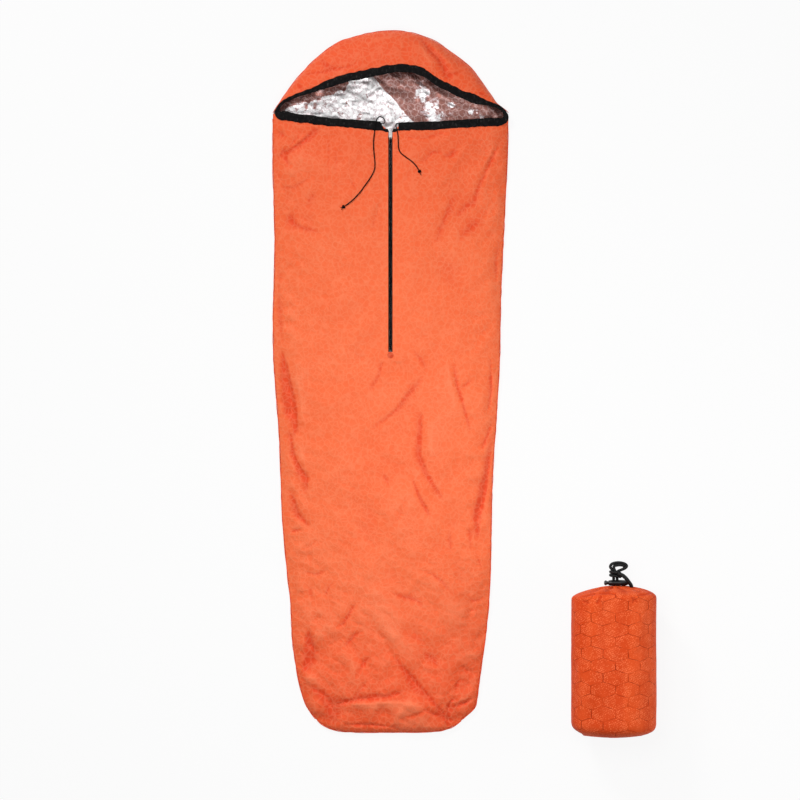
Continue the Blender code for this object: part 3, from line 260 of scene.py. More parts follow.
# Small wrinkles: height, width of a blob, angle, seed, stretch, and whether they make sharp ridges
FRONT_WRINKLES = [(0.0024, 0.075, 24, 3, 2.6, False)]
FOOT_WRINKLES = [(0.0022, 0.052, -38, 4, 2.2, False), (0.0010, 0.024, 65, 5, 2.0, False),
                 (0.0004, 0.010, 0, 6, 1.0, False), (0.0050, 0.090, 30, 11, 1.9, True),
                 (-0.0042, 0.064, -36, 12, 1.8, True), (0.0020, 0.032, 62, 13, 1.6, True)]
SIDE_WRINKLES = [(0.0030, 0.030, 0, 8, 0.8, False)]
FRONT_SWELL = [(0.0035, 0.26, 0, 7, 1.0, False)]
HOOD_WRINKLES = [(0.0018, 0.050, 30, 31, 2.4, False), (0.0014, 0.030, -40, 32, 2.4, False),
                 (0.0006, 0.012, 0, 33, 1.0, False)]
SACK_DENTS = [(0.0035, 0.085, 0, 111, 1.8, False), (0.0014, 0.030, 18, 112, 2.4, False),
              (0.0005, 0.012, 0, 113, 1.0, False)]
FILM_STREAKS = [(1.0, 0.012, -22, 22, 3.2, False), (0.6, 0.009, 35, 23, 2.5, False)]

# Crumples of the inner foil: height, seed, least and most distance between creases. Its lift off the floor
FOIL_CRUMPLES = [(0.055, 50, 0.028, 0.075), (0.085, 90, 0.011, 0.024)]
FOIL_SWELL = 0.0025
FOIL_REST = 0.0035
FOIL_LIFT = (0.004, 0.010)

# Foil: tone of its lit silver, its drop into painted shade to the right of its long crease, the depth of its
# darker streaks and the painted highlight along the crease; its long crease from a point along a way, and its
# painted highlights as middle, half width and half height
SILVER_TONE = 0.96
SHADED_SIDE_DROP = 1.07
STREAK_DEPTH = 0.55
CREASE_TONE = 0.95
CREASE_START = (-0.058, 0.899)
CREASE_WAY = (0.1255, -0.1276)
FILM_SPOTS = [(0.098, 0.862, 0.026, 0.045), (0.118, 0.820, 0.028, 0.034), (0.146, 0.788, 0.034, 0.020),
              (0.181, 0.825, 0.010, 0.008), (0.247, 0.804, 0.013, 0.010), (0.277, 0.786, 0.015, 0.009),
              (0.317, 0.789, 0.010, 0.007)]

# A groove this deep shows its full painted shade, a ridge this high its full painted highlight, and wrinkles
# show this share of theirs
RELIEF = 0.0045
WRINKLE_RELIEF = 0.30

# Folds of the front and of the hood
FRONT_FOLDS = folds([
    (-8.5, 7, 11, -213,752, -235,735, -262,712, -300,687, -318,672),
    (-4.5, 4, 5, -268,732, -300,702, -325,682),
    (5, 6, 6, -240,742, -285,708, -312,690),
    (-5, 5, 6, -320,685, -312,660, -300,640),
    (-3.5, 4, 5, -320,685, -336,662),
    (-5, 10, 10, -333,745, -318,728),
    (-2.6, 6, 6, -183,710, -184,585),
    (-2.6, 6, 6, -163,712, -163,575),
    (1.8, 5, 5, -173,705, -174,590),
    (-3, 9, 9, -335,577, -290,577, -255,598, -232,612),
    (-3, 4, 6, -350,640, -325,597),
    (-2.5, 5, 5, -225,558, -246,534),
    (2.2, 4, 6, -232,590, -256,530),
    (-2.8, 4, 5, -122,602, -100,568),
    (-3.6, 5, 4, -14,553, -34,520, -47,485, -53,455),
    (2, 6, 10, -24,548, -45,515, -60,480),
    (-2.2, 5, 6, -12,615, -34,600, -50,565),
    (-3.6, 4, 5, 30,727, 100,722, 158,739),
    (-2, 4, 6, 35,710, 92,704),
    (-4.2, 6, 7, 92,653, 108,662, 123,680, 152,681),
    (-4.5, 8, 9, 160,668, 182,674, 197,690),
    (-3.2, 6, 7, 17,583, 36,591, 58,617),
    (-4.8, 7, 9, 337,728, 320,692, 300,658, 280,612, 262,572, 250,530),
    (-2.8, 6, 8, 250,530, 226,520, 203,493),
    (2.8, 8, 6, 310,700, 290,660, 272,620),
    (-3.2, 9, 10, 186,542, 170,500, 152,460, 139,420),
    (-3, 16, 18, 280,492, 250,466, 222,440, 203,418),
    (-2.2, 8, 10, 78,425, 85,392, 60,363),
    (-3, 6, 8, -300,492, -285,465, -250,453, -222,447),
    (2.2, 5, 5, -214,490, -214,452),
    (-3.2, 7, 8, 333,610, 332,450, 316,350, 319,250),
    (-4, 12, 12, -335,345, -334,200, -322,110),
    (1.8, 4, 6, -292,245, -286,205, -292,165),
    (-8.5, 7, 22, -322,80, -308,10, -296,-50, -284,-105, -283,-150),
    (3.5, 20, 8, -285,20, -268,-55, -262,-120),
    (-6.5, 6, 16, -297,-170, -288,-225, -266,-270, -250,-292, -250,-325),
    (3.5, 10, 8, -272,-195, -262,-240),
    (-3.8, 7, 9, -14,92, -25,50, -36,10, -50,-10, -62,-32),
    (-3.8, 9, 11, 92,2, 62,-30, 42,-56, 20,-88, -12,-112, -52,-142),
    (-2.6, 9, 9, 70,92, 90,62, 106,38),
    (-5, 7, 9, 190,45, 198,-15, 214,-60, 226,-102, 238,-150),
    (-3.4, 6, 6, 240,0, 214,-22),
    (3, 10, 14, 170,60, 182,-10, 196,-70),
    (-5, 8, 12, 92,-105, 88,-170, 85,-222, 104,-272, 126,-312, 152,-345),
    (3, 16, 8, 112,-130, 116,-190, 128,-250),
    (-6, 7, 8, 68,-300, 84,-342, 100,-374, 118,-405),
    (-4.5, 4, 7, 300,60, 303,-30, 295,-78, 283,-92),
    (-4, 6, 8, 312,-105, 296,-150, 274,-205),
    (-8, 8, 14, 306,-165, 296,-245, 277,-350, 260,-405, 262,-460),
    (3.5, 6, 6, 312,-230, 300,-330, 292,-420),
    (-2.5, 7, 8, -22,-278, -4,-314),
    (-4, 6, 7, 42,-357, 30,-400, 13,-432),
    (-5, 8, 10, -293,-345, -276,-402, -245,-432),
    (-5, 5, 5, -300,-452, -268,-446),
    (-4.2, 4, 5, -264,-503, -243,-497, -221,-480),
    (-3.6, 5, 6, -252,-575, -218,-579, -188,-564),
    (-4, 5, 6, -169,-598, -186,-622, -196,-648),
    (-2.8, 10, 10, -243,-615, -232,-660),
    (-6, 6, 7, -103,-663, -126,-702, -141,-727, -158,-737),
    (-4.6, 5, 6, -83,-749, -106,-760, -126,-782, -137,-797),
    (-4.6, 5, 6, -54,-824, -76,-840, -91,-866, -102,-888),
    (-5, 6, 7, -70,-900, -85,-920, -102,-942),
    (-8.5, 10, 18, -245,-745, -236,-800, -246,-845, -264,-875),
    (-9, 10, 20, -238,-915, -205,-935, -180,-965, -165,-1000),
    (-9.5, 12, 4, -160,-970, -100,-955, -50,-951, 0,-945, 32,-934),
    (5, 3, 14, -120,-968, -50,-966, 10,-962, 80,-968),
    (-4.5, 6, 6, -130,-1030, -60,-1030, 10,-1038),
    (-5, 5, 6, 42,-1010, 78,-1000, 105,-986, 130,-999, 152,-1002),
    (-7.5, 8, 10, 18,-830, 42,-867, 72,-902, 102,-932, 132,-966, 160,-1000, 176,-1034),
    (-6, 5, 6, 174,-1015, 174,-975, 184,-956, 204,-955),
    (-6, 6, 5, 188,-976, 222,-966, 250,-951),
    (3, 6, 4, 190,-962, 230,-950),
    (-3.4, 5, 6, 104,-818, 125,-835, 143,-853),
    (-2.4, 5, 6, 110,-743, 136,-772),
    (-3.4, 8, 7, -4,-634, 30,-645, 56,-650, 85,-661, 97,-678),
    (-4, 9, 8, 93,-569, 125,-580, 152,-601, 175,-626, 192,-648),
    (-3.4, 4, 5, 235,-648, 250,-660, 272,-655),
    (-2.8, 4, 4, 235,-690, 262,-684),
    (-2.8, 9, 10, 28,-738, 60,-768, 102,-776),
    (-3, 4, 4, 204,-898, 194,-926),
    (-2, 6, 6, 175,-450, 180,-510),
    (-2.2, 6, 6, 235,-440, 240,-500),
    (-3, 5, 5, 258,-520, 275,-565),
])
HOOD_FOLDS = folds([
    (-5, 10, 12, -208,960, -192,940, -170,930),
    (-3.4, 5, 5, -255,914, -200,920, -130,934, -98,946),
    (-4, 6, 6, -278,888, -262,862),
    (-7.5, 12, 10, 94,1018, 120,986, 146,960, 160,932, 170,902),
    (3.5, 10, 14, 85,1010, 105,975, 125,945),
    (3, 12, 8, 112,1010, 160,965, 190,935),
    (-3.6, 5, 4, 163,905, 190,914, 216,921),
    (-4, 6, 6, 258,862, 290,850),
    (-2.2, 8, 8, -152,1012, -134,984),
    (-1.4, 12, 12, -60,985, 20,990, 70,985),
])


def smoothed(at, table, count, width, **pad):
    """A smooth curve through the places of a table."""
    places, values = zip(*table)
    fine = np.linspace(places[0], places[-1], count)
    kernel = np.hanning(width)
    padded = np.pad(np.interp(fine, places, values), width // 2, **pad)
    return np.interp(at, fine, np.convolve(padded, kernel / kernel.sum(), mode="valid"))


def shift_at(x, table):
    """How far an edge of the mouth is shifted at a place across the bag."""
    return smoothed(x, table, 300, 19, mode="edge")


def seam_x(y, seam):
    """X of a side seam at a height along the bag."""
    return smoothed(y, seam, 400, 13, mode="reflect", reflect_type="odd")


def ramp(low, high, value):
    """0 at low, 1 at high and smooth between them. Low may be the greater one."""
    share = np.clip((value - low) / (high - low), 0.0, 1.0)
    return share * share * (3.0 - 2.0 * share)


def noise_field(x, y, size, seed, stretch=1.0):
    """Smooth random values from -1 to 1 over a plane. Its blobs are as wide as the size given."""
    u = np.asarray(x) / size + 137.0
    v = np.asarray(y) / (size * stretch) + 251.0
    table = np.random.default_rng(seed).uniform(-1.0, 1.0, (256, 256))
    iu, iv = np.floor(u).astype(int), np.floor(v).astype(int)
    fu, fv = u - iu, v - iv
    fu, fv = fu ** 3 * (fu * (fu * 6 - 15) + 10), fv ** 3 * (fv * (fv * 6 - 15) + 10)
    a, b = table[iu % 256, iv % 256], table[(iu + 1) % 256, iv % 256]
    c, d = table[iu % 256, (iv + 1) % 256], table[(iu + 1) % 256, (iv + 1) % 256]
    return (a * (1 - fu) + b * fu) * (1 - fv) + (c * (1 - fu) + d * fu) * fv


def noise_along(run, size, seed):
    return noise_field(run, 0 * run, size, seed)


def turned(x, y, degrees):
    angle = math.radians(degrees)
    return x * math.cos(angle) + y * math.sin(angle), y * math.cos(angle) - x * math.sin(angle)


def wrinkled(x, y, table):
    """The sum of a table's wrinkles."""
    total = 0.0
    for height, size, angle, seed, stretch, ridged in table:
        part = noise_field(*turned(x, y, angle), size, seed, stretch)
        total = total + height * (np.abs(part) if ridged else part)
    return total


def fold_height(x, y, lines):
    """Height that a list of folds adds at each place. A fold peaks on its line and dies away beside it."""
    total = np.zeros(np.shape(x))
    for line, height, left, right in lines:
        reach = 4.0 * max(left, right)
        low, high = line.min(0) - reach, line.max(0) + reach
        near = (x > low[0]) & (x < high[0]) & (y > low[1]) & (y < high[1])
        if not near.any():
            continue
        px, py = x[near], y[near]
        lengths = np.hypot(*(line[1:] - line[:-1]).T)
        along_start = np.concatenate([[0.0], np.cumsum(lengths)])
        best = np.full(px.shape, 1e9)
        side, along = np.zeros(px.shape), np.zeros(px.shape)
        for k, (a, b) in enumerate(zip(line, line[1:])):
            way = (b - a) / lengths[k]
            t = np.clip((px - a[0]) * way[0] + (py - a[1]) * way[1], 0.0, lengths[k])
            dx, dy = px - a[0] - way[0] * t, py - a[1] - way[1] * t
            distance = np.hypot(dx, dy)
            closer = distance < best
            best = np.where(closer, distance, best)
            side = np.where(closer, way[0] * dy - way[1] * dx, side)
            along = np.where(closer, along_start[k] + t, along)
        taper = np.sqrt(np.clip(np.sin(np.pi * (0.06 + 0.88 * along / along_start[-1])), 0.0, 1.0))
        total[near] += height * taper * np.exp(-(best / np.where(side > 0, left, right)) ** 1.25)
    return total


def crown(share):
    return np.clip(1.0 - np.abs(share) ** CROWN_POWER, 0.0, None) ** CROWN_ROOT


def lower_of(a, b):
    a, b = np.maximum(a, 1e-6), np.maximum(b, 1e-6)
    return (a ** -EDGE_BLEND + b ** -EDGE_BLEND - 1.0) ** (-1.0 / EDGE_BLEND)


def wide_at(x, y):
    """Half width of the bag on the side where x lies."""
    y = np.clip(y, FOOT_CORNER_Y, SHOULDER_Y)
    return np.where(np.asarray(x) < 0, -seam_x(y, LEFT_SEAM), seam_x(y, RIGHT_SEAM))


def front_shape(x, y):
    """Height of the front panel, with its folds and small wrinkles, and their relief alone, which paints
    shade into the grooves and highlight onto the ridges.
    """
    x, y = np.asarray(x, float), np.asarray(y, float)
    share = np.clip(np.abs(x) / wide_at(x, y), 0.0, 1.0)
    ridge = FOOT_HEIGHT + (CHEST_HEIGHT - FOOT_HEIGHT) * ramp(LOW_START_Y, LEVEL_END_Y, y)
    foot = FOOT_Y + (FOOT_CORNER_Y - FOOT_Y) * share ** FOOT_BEND
    near_foot = np.clip((foot + FOOT_ROUND - y) / FOOT_ROUND, 0.0, 1.0)
    rise = lower_of(crown(share), crown(near_foot))
    beside_zip = np.abs(x) + 0.2 * (y < ZIP_BOTTOM_Y - 0.03)
    loose = ramp(0.0, 0.45, rise) * ramp(0.018, 0.060, beside_zip)
    loose = loose * ramp(CHEST_EDGE_Y + 0.01, CHEST_EDGE_Y - 0.02, y)
    foot_crush = 0.75 + 1.1 * ramp(-0.30, -0.98, y)
    side = ramp(0.55, 0.95, share) * ramp(1.0, 0.97, share)
    wrinkles = wrinkled(x, y, FRONT_WRINKLES) + foot_crush * wrinkled(x, y, FOOT_WRINKLES)
    wrinkles += side * wrinkled(x, y, SIDE_WRINKLES)
    plain = (ridge - SEAM_HEIGHT) * rise
    lines = fold_height(x, y, FRONT_FOLDS)
    height = plain + loose * (lines + wrinkles + wrinkled(x, y, FRONT_SWELL))
    return SEAM_HEIGHT + np.maximum(height, LEAST_RISE * plain), loose * (lines + WRINKLE_RELIEF * wrinkles)


def front_height(x, y):
    return front_shape(x, y)[0]


def mesh_object(name, points, faces, finish, flat=None, thick=0.0, values=None, ends=()):
    """A mesh of four-sided faces, and of larger ones as ends. Flat holds its cloth coordinates, in metres."""
    faces = np.asarray(faces)
    used = np.zeros(len(points), bool)
    used[faces.reshape(-1)] = True
    new = np.cumsum(used) - 1
    mesh = bpy.data.meshes.new(name)
    mesh.from_pydata(points[used].tolist(), [], new[faces].tolist() + [new[end].tolist() for end in ends])
    if flat is not None:
        corners = np.zeros(len(mesh.loops), np.int32)
        mesh.loops.foreach_get("vertex_index", corners)
        layer = mesh.uv_layers.new(name="cloth")
        layer.data.foreach_set("uv", flat[used][corners].astype(np.float32).reshape(-1))
    for label, value in (values or {}).items():
        attribute = mesh.attributes.new(label, "FLOAT", "POINT")
        attribute.data.foreach_set("value", value.reshape(-1)[used].astype(np.float32))
    mesh.shade_smooth()
    mesh.materials.append(finish)
    thing = placed(name, mesh)
    if thick > 0:
        solid = thing.modifiers.new("thickness", "SOLIDIFY")
        solid.thickness = thick
        solid.offset = -1.0
    return thing


def placed(name, data):
    thing = bpy.data.objects.new(name, data)
    bpy.context.scene.collection.objects.link(thing)
    return thing


def dress(piece, body, slot, *nodes):
    """Rides a piece on its body, in the place of the nodes that it stands for."""
    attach(piece, body)
    if nodes:
        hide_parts(*nodes)


def grid(name, points, finish, flat=None, keep=None, thick=0.0, values=None):
    """A sheet from rows and columns of points. Its cloth lies as seen from above where flat isn't given."""
    rows, columns = points.shape[:2]
    flat = points[..., :2] if flat is None else flat
    index = np.arange(rows * columns).reshape(rows, columns)
    faces = np.stack([index[:-1, :-1], index[1:, :-1], index[1:, 1:], index[:-1, 1:]], -1).reshape(-1, 4)
    if keep is not None:
        faces = faces[keep.reshape(-1)]
    return mesh_object(name, points.reshape(-1, 3), faces, finish, flat.reshape(-1, 2), thick, values)


def wind(name, ring, finish, flat=None):
    """A skin of rings along a line. Its two ends are capped where it has no cloth coordinates."""
    stations, sides = ring.shape[:2]
    index = np.arange(stations * sides).reshape(stations, sides)
    after = np.roll(index, -1, axis=1)
    faces = np.stack([index[:-1], after[:-1], after[1:], index[1:]], -1).reshape(-1, 4)
    ends = [index[0][::-1], index[-1]] if flat is None else ()
    return mesh_object(name, ring.reshape(-1, 3), faces, finish, flat, ends=ends)


def unit(ways):
    """The same directions with a length of 1."""
    return ways / np.linalg.norm(ways, axis=-1, keepdims=True)


def frames_along(line):
    """Two ways across a line of points, level and upright."""
    way = unit(np.gradient(line, axis=0))
    side = np.cross(way, (0.0, 0.0, 1.0))
    side[np.linalg.norm(side, axis=1) < 1e-3] = (1.0, 0.0, 0.0)
    side = unit(side)
    return side, np.cross(side, way)


def circle(sides):
    return np.linspace(0, 2 * np.pi, sides, endpoint=False)


def tube_mesh(name, line, radius, finish, sides):
    side, up = frames_along(line)
    turn = circle(sides)[None, :, None]
    across = side[:, None] * np.cos(turn) + up[:, None] * np.sin(turn)
    return wind(name, line[:, None] + radius * across, finish)


def run_along(line):
    """How far each point of a line lies from its start."""
    return np.concatenate([[0], np.cumsum(np.linalg.norm(np.diff(line, axis=0), axis=1))])


def smooth_route(route, spacing):
    """Evenly spaced points on a smooth curve through the route's own points."""
    route = [Vector(p) for p in route]
    fine = []
    for i in range(len(route) - 1):
        a = route[i - 1] if i > 0 else route[i] * 2 - route[i + 1]
        b, c = route[i], route[i + 1]
        d = route[i + 2] if i + 2 < len(route) else c * 2 - b
        for k in range(12):
            t = k / 12.0
            fine.append(0.5 * (2 * b + (c - a) * t + (2 * a - 5 * b + 4 * c - d) * t ** 2
                               + (3 * b - a - 3 * c + d) * t ** 3))
    fine = np.array(fine + [route[-1]])
    run = run_along(fine)
    places = np.linspace(0, run[-1], max(2, round(run[-1] / spacing)) + 1)
    return np.stack([np.interp(places, run, fine[:, k]) for k in range(3)], -1)


def cord_curve(name, line, diameter, finish):
    curve = bpy.data.curves.new(name, "CURVE")
    curve.dimensions = "3D"
    curve.bevel_depth = diameter / 2.0
    curve.bevel_resolution = 4
    curve.use_fill_caps = True
    spline = curve.splines.new("POLY")
    spline.points.add(len(line) - 1)
    for slot, point in zip(spline.points, line):
        slot.co = (*point, 1.0)
    curve.materials.append(finish)
    return placed(name, curve)


class Nodes:
    """A short way to build a material or a world. A material's colour and bumps grow layer by layer."""

    def __init__(self, name, kind="materials"):
        self.owner = getattr(bpy.data, kind).new(name)
        self.owner.use_nodes = True
        self.tree = self.owner.node_tree
        self.shader = self.tree.nodes.get("Principled BSDF")
        self.colour = None
        self.normal = None

    def link(self, source, target):
        if isinstance(source, bpy.types.NodeSocket):
            self.tree.links.new(source, target)
        else:
            target.default_value = source

    def add(self, kind, inputs=(), out=0, **settings):
        made = self.tree.nodes.new(kind)
        for key, value in settings.items():
            setattr(made, key, value)
        for key, value in dict(inputs).items():
            self.link(value, made.inputs[key])
        return made.outputs[out]

    def math(self, operation, *values):
        return self.add("ShaderNodeMath", dict(enumerate(values)), operation=operation)

    def times(self, a, b):
        return self.math("MULTIPLY", a, b)

    def line_of(self, value, factor, start):
        """Factor times the value, plus start."""
        return self.math("MULTIPLY_ADD", value, factor, start)

    def vector(self, operation, *values, out=0):
        return self.add("ShaderNodeVectorMath", dict(enumerate(values)), out, operation=operation)

    def scaled(self, where, *factors):
        return self.vector("MULTIPLY", where, factors)

    def turned(self, where, degrees):
        return self.add("ShaderNodeVectorRotate", {"Vector": where, "Angle": math.radians(degrees)},
                        rotation_type="Z_AXIS")

    def axis(self, where, index):
        return self.add("ShaderNodeSeparateXYZ", {0: where}, index)

    def steps(self, value, low, high, start=0.0, end=1.0):
        return self.add("ShaderNodeMapRange", {0: value, 1: low, 2: high, 3: start, 4: end},
                        interpolation_type="SMOOTHSTEP")

    def stroke(self, distance, low, high):
        """A line where the distance is small."""
        return self.math("SUBTRACT", 1.0, self.steps(distance, low, high))

    def noise(self, where, scale, detail=3.0, roughness=0.6):
        return self.add("ShaderNodeTexNoise", {"Vector": where, "Scale": scale, "Detail": detail,
                                               "Roughness": roughness})

    def cells(self, where, size, out=0, feature="F1", randomness=1.0):
        """Cells about as wide as the size given: their distance, or as output 1 their random colour."""
        inputs = {"Vector": where, "Scale": 1.0 / size, "Randomness": randomness}
        return self.add("ShaderNodeTexVoronoi", inputs, out, feature=feature)

    def cracks(self, where, size):
        return self.cells(where, size, feature="DISTANCE_TO_EDGE")

    def facets(self, where, size):
        """One random value for each cell."""
        return self.add("ShaderNodeSeparateColor", {0: self.cells(where, size, 1)})

    def warped(self, where, size, reach):
        """The same place, moved about by noise."""
        shift = self.add("ShaderNodeTexNoise", {"Vector": where, "Scale": 1.0 / size, "Detail": 2.0}, 1)
        shift = self.vector("SCALE", self.vector("SUBTRACT", shift, (0.5, 0.5, 0.5)))
        self.link(2.0 * reach, shift.node.inputs[3])
        return self.vector("ADD", where, shift)

    def hexagons(self, where, width, row):
        """Distance from the nearest edge of a hexagon pattern, as a share of its width."""
        slant = math.sqrt(0.75)
        across = self.scaled(where, 1.0 / width, slant / row, 0.0)
        half = (0.5, slant, 0.5)
        cells = []
        for shift in ((0.0, 0.0, 0.0), (0.5, slant, 0.0)):
            moved = self.vector("ADD", across, shift)
            cell = self.vector("ABSOLUTE", self.vector("WRAP", moved, half, tuple(-h for h in half)))
            slanted, upright = (self.vector("DOT_PRODUCT", cell, way, out=1)
                                for way in ((0.5, slant, 0.0), (1.0, 0.0, 0.0)))
            cells.append(self.math("MAXIMUM", slanted, upright))
        return self.math("SUBTRACT", 0.5, self.math("MINIMUM", *cells))

    def threads(self, where, pitch):
        """Height of a plain weave, from 0 to 1."""
        turns = self.scaled(where, 2 * math.pi / pitch, 2 * math.pi / pitch, 0.0)
        warp, weft = (self.math("SINE", self.axis(turns, k)) for k in (0, 1))
        return self.line_of(self.times(warp, weft), 0.5, 0.5)

    def attribute(self, name):
        return self.add("ShaderNodeAttribute", out=2, attribute_name=name)

    def rays(self, *kinds):
        """1 where the surface is seen by rays of these kinds."""
        path = self.tree.nodes.new("ShaderNodeLightPath")
        first, *others = (path.outputs[f"Is {kind} Ray"] for kind in kinds)
        for other in others:
            first = self.math("MAXIMUM", first, other)
        return first

    def cloth_place(self):
        return self.add("ShaderNodeUVMap", uv_map="cloth")

    def object_place(self):
        return self.add("ShaderNodeTexCoord", out=3)

    def mix(self, share, a, b):
        made = self.tree.nodes.new("ShaderNodeMix")
        made.data_type = "RGBA"
        for value, socket in zip((share, a, b), (0, 6, 7)):
            self.link((*value, 1) if isinstance(value, tuple) else value, made.inputs[socket])
        self.colour = made.outputs[2]

    def tint(self, share, colour, amount=None):
        """Lays a colour over what is there, where the share says so."""
        self.mix(share if amount is None else self.times(share, amount), self.colour, colour)

    def bump(self, height, strength, distance):
        inputs = {"Height": height, "Strength": strength, "Distance": distance}
        if self.normal is not None:
            inputs["Normal"] = self.normal
        self.normal = self.add("ShaderNodeBump", inputs)

    def finish(self, roughness, **sockets):
        sockets.update(Base_Color=self.colour, Roughness=roughness, Normal=self.normal)
        for key, value in sockets.items():
            if value is not None:
                self.link(value, self.shader.inputs[key.replace("_", " ")])
        return self.owner


def orange_cloth(name, deep, deep_colour=(0.875, 0.103, 0.031)):
    """Thin coated film cloth, embossed with small hexagons. Painted shade deepens its colour in its folds'
    grooves and towards its ends at the hood and the foot; painted highlight pales the fold ridges, and
    painted sheen the raised hexagon lines, creases and crinkles.
    """
    n = Nodes(name)
    where = n.cloth_place()
    relief = n.attribute("relief")
    line = n.stroke(n.hexagons(n.warped(where, 0.030, 0.0010), 0.0165, 0.0145), 0.03, 0.11)
    clear = n.steps(n.noise(where, 9.0), 0.46, 0.62)
    crease = n.stroke(n.cracks(n.warped(where, 0.018, 0.006), 0.016), 0.03, 0.15)
    crinkle = n.noise(n.warped(where, 0.05, 0.012), 60.0, 5.0)
    fine = n.noise(where, 420.0)
    along = n.axis(where, 1)
    ends = n.math("MAXIMUM", n.steps(along, 0.25, 1.00), n.steps(along, -0.55, -1.00))
    n.mix(n.steps(n.noise(where, 6.0, 4.0), 0.3, 0.7), (0.915, 0.143, 0.046), (0.935, 0.164, 0.057))
    # Painted sheen: paler on the raised crinkles.
    n.tint(n.steps(crinkle, 0.42, 0.68), (0.955, 0.215, 0.090), 0.40)
    # Painted shade: deeper orange towards the hood and the foot; deep lays the same colour over the whole
    # cloth.
    n.tint(n.math("MAXIMUM", n.times(ends, 0.90), deep), deep_colour)
    # Painted highlight on the fold ridges and painted shade in their grooves, from the relief attribute.
    n.tint(n.steps(relief, 0.05, 0.85), (0.965, 0.235, 0.105), 0.60)
    n.tint(n.steps(relief, -0.05, -0.85), (0.780, 0.066, 0.019), 0.90)
    # Painted sheen on the raised hexagon lines and creases.
    n.tint(n.times(line, clear), (0.970, 0.280, 0.140), 0.22)
    n.tint(crease, (0.970, 0.300, 0.150), 0.22)
    n.bump(line, 0.25, 0.0005)
    n.bump(crease, 0.50, 0.0008)
    n.bump(crinkle, 0.55, 0.0024)
    n.bump(n.line_of(n.threads(where, 0.0011), 0.4, fine), 0.25, 0.0002)
    return n.finish(n.line_of(fine, 0.22, 0.42), Specular_IOR_Level=0.10)


def sack_cloth():
    """Coated cloth with wide, flat hexagons of dark thread, faded in places, round fields of pale dots.
    Painted shade lies in darker bands along the sack and in the pleats' valleys and tucks, painted highlight
    on the pleats' crests.
    """
    n = Nodes("sack_cloth")
    where = n.cloth_place()
    relief = n.attribute("relief")
    edge = n.hexagons(n.warped(where, 0.028, 0.0024), 0.076, 0.0355)
    line = n.stroke(edge, 0.006, 0.020)
    kept = n.steps(n.noise(where, 30.0, 3.0, 0.65), 0.44, 0.56)
    soft = n.noise(where, 70.0, 4.0)
    slanted = n.scaled(n.turned(n.warped(where, 0.04, 0.003), 28), 1.0, 0.8, 1.0)
    dots = n.stroke(n.cells(slanted, 0.0047, randomness=0.45), 0.22, 0.50)
    dots = n.times(dots, n.steps(n.noise(where, 40.0), 0.35, 0.60, 0.35, 1.0))
    dots = n.times(dots, n.steps(edge, 0.012, 0.030))
    band = n.steps(n.noise(n.scaled(where, 14.0, 1.6, 1.0), 1.0, 2.0, 0.5), 0.40, 0.62)
    n.mix(n.steps(n.noise(where, 8.0, 4.0), 0.25, 0.75), (0.70, 0.076, 0.015), (0.79, 0.100, 0.024))
    # Painted shade: darker bands along the sack.
    n.mix(n.line_of(band, 0.60, 0.40), (0.60, 0.050, 0.009), n.colour)
    n.tint(dots, (1.0, 0.235, 0.090), 0.65)
    # Painted highlight on the pleats' crests, painted shade in their valleys and in the tucks.
    n.tint(n.steps(relief, 0.0, 1.0), (0.90, 0.130, 0.035), 0.35)
    n.tint(n.steps(relief, 0.0, -1.0), (0.50, 0.036, 0.007), 0.60)
    n.tint(n.times(line, n.line_of(kept, 0.75, 0.20)), (0.26, 0.016, 0.004))
    n.bump(line, -0.4, 0.0008)
    n.bump(dots, 0.40, 0.0006)
    n.bump(soft, 0.45, 0.0012)
    return n.finish(n.line_of(soft, 0.20, 0.45), Specular_IOR_Level=0.03)


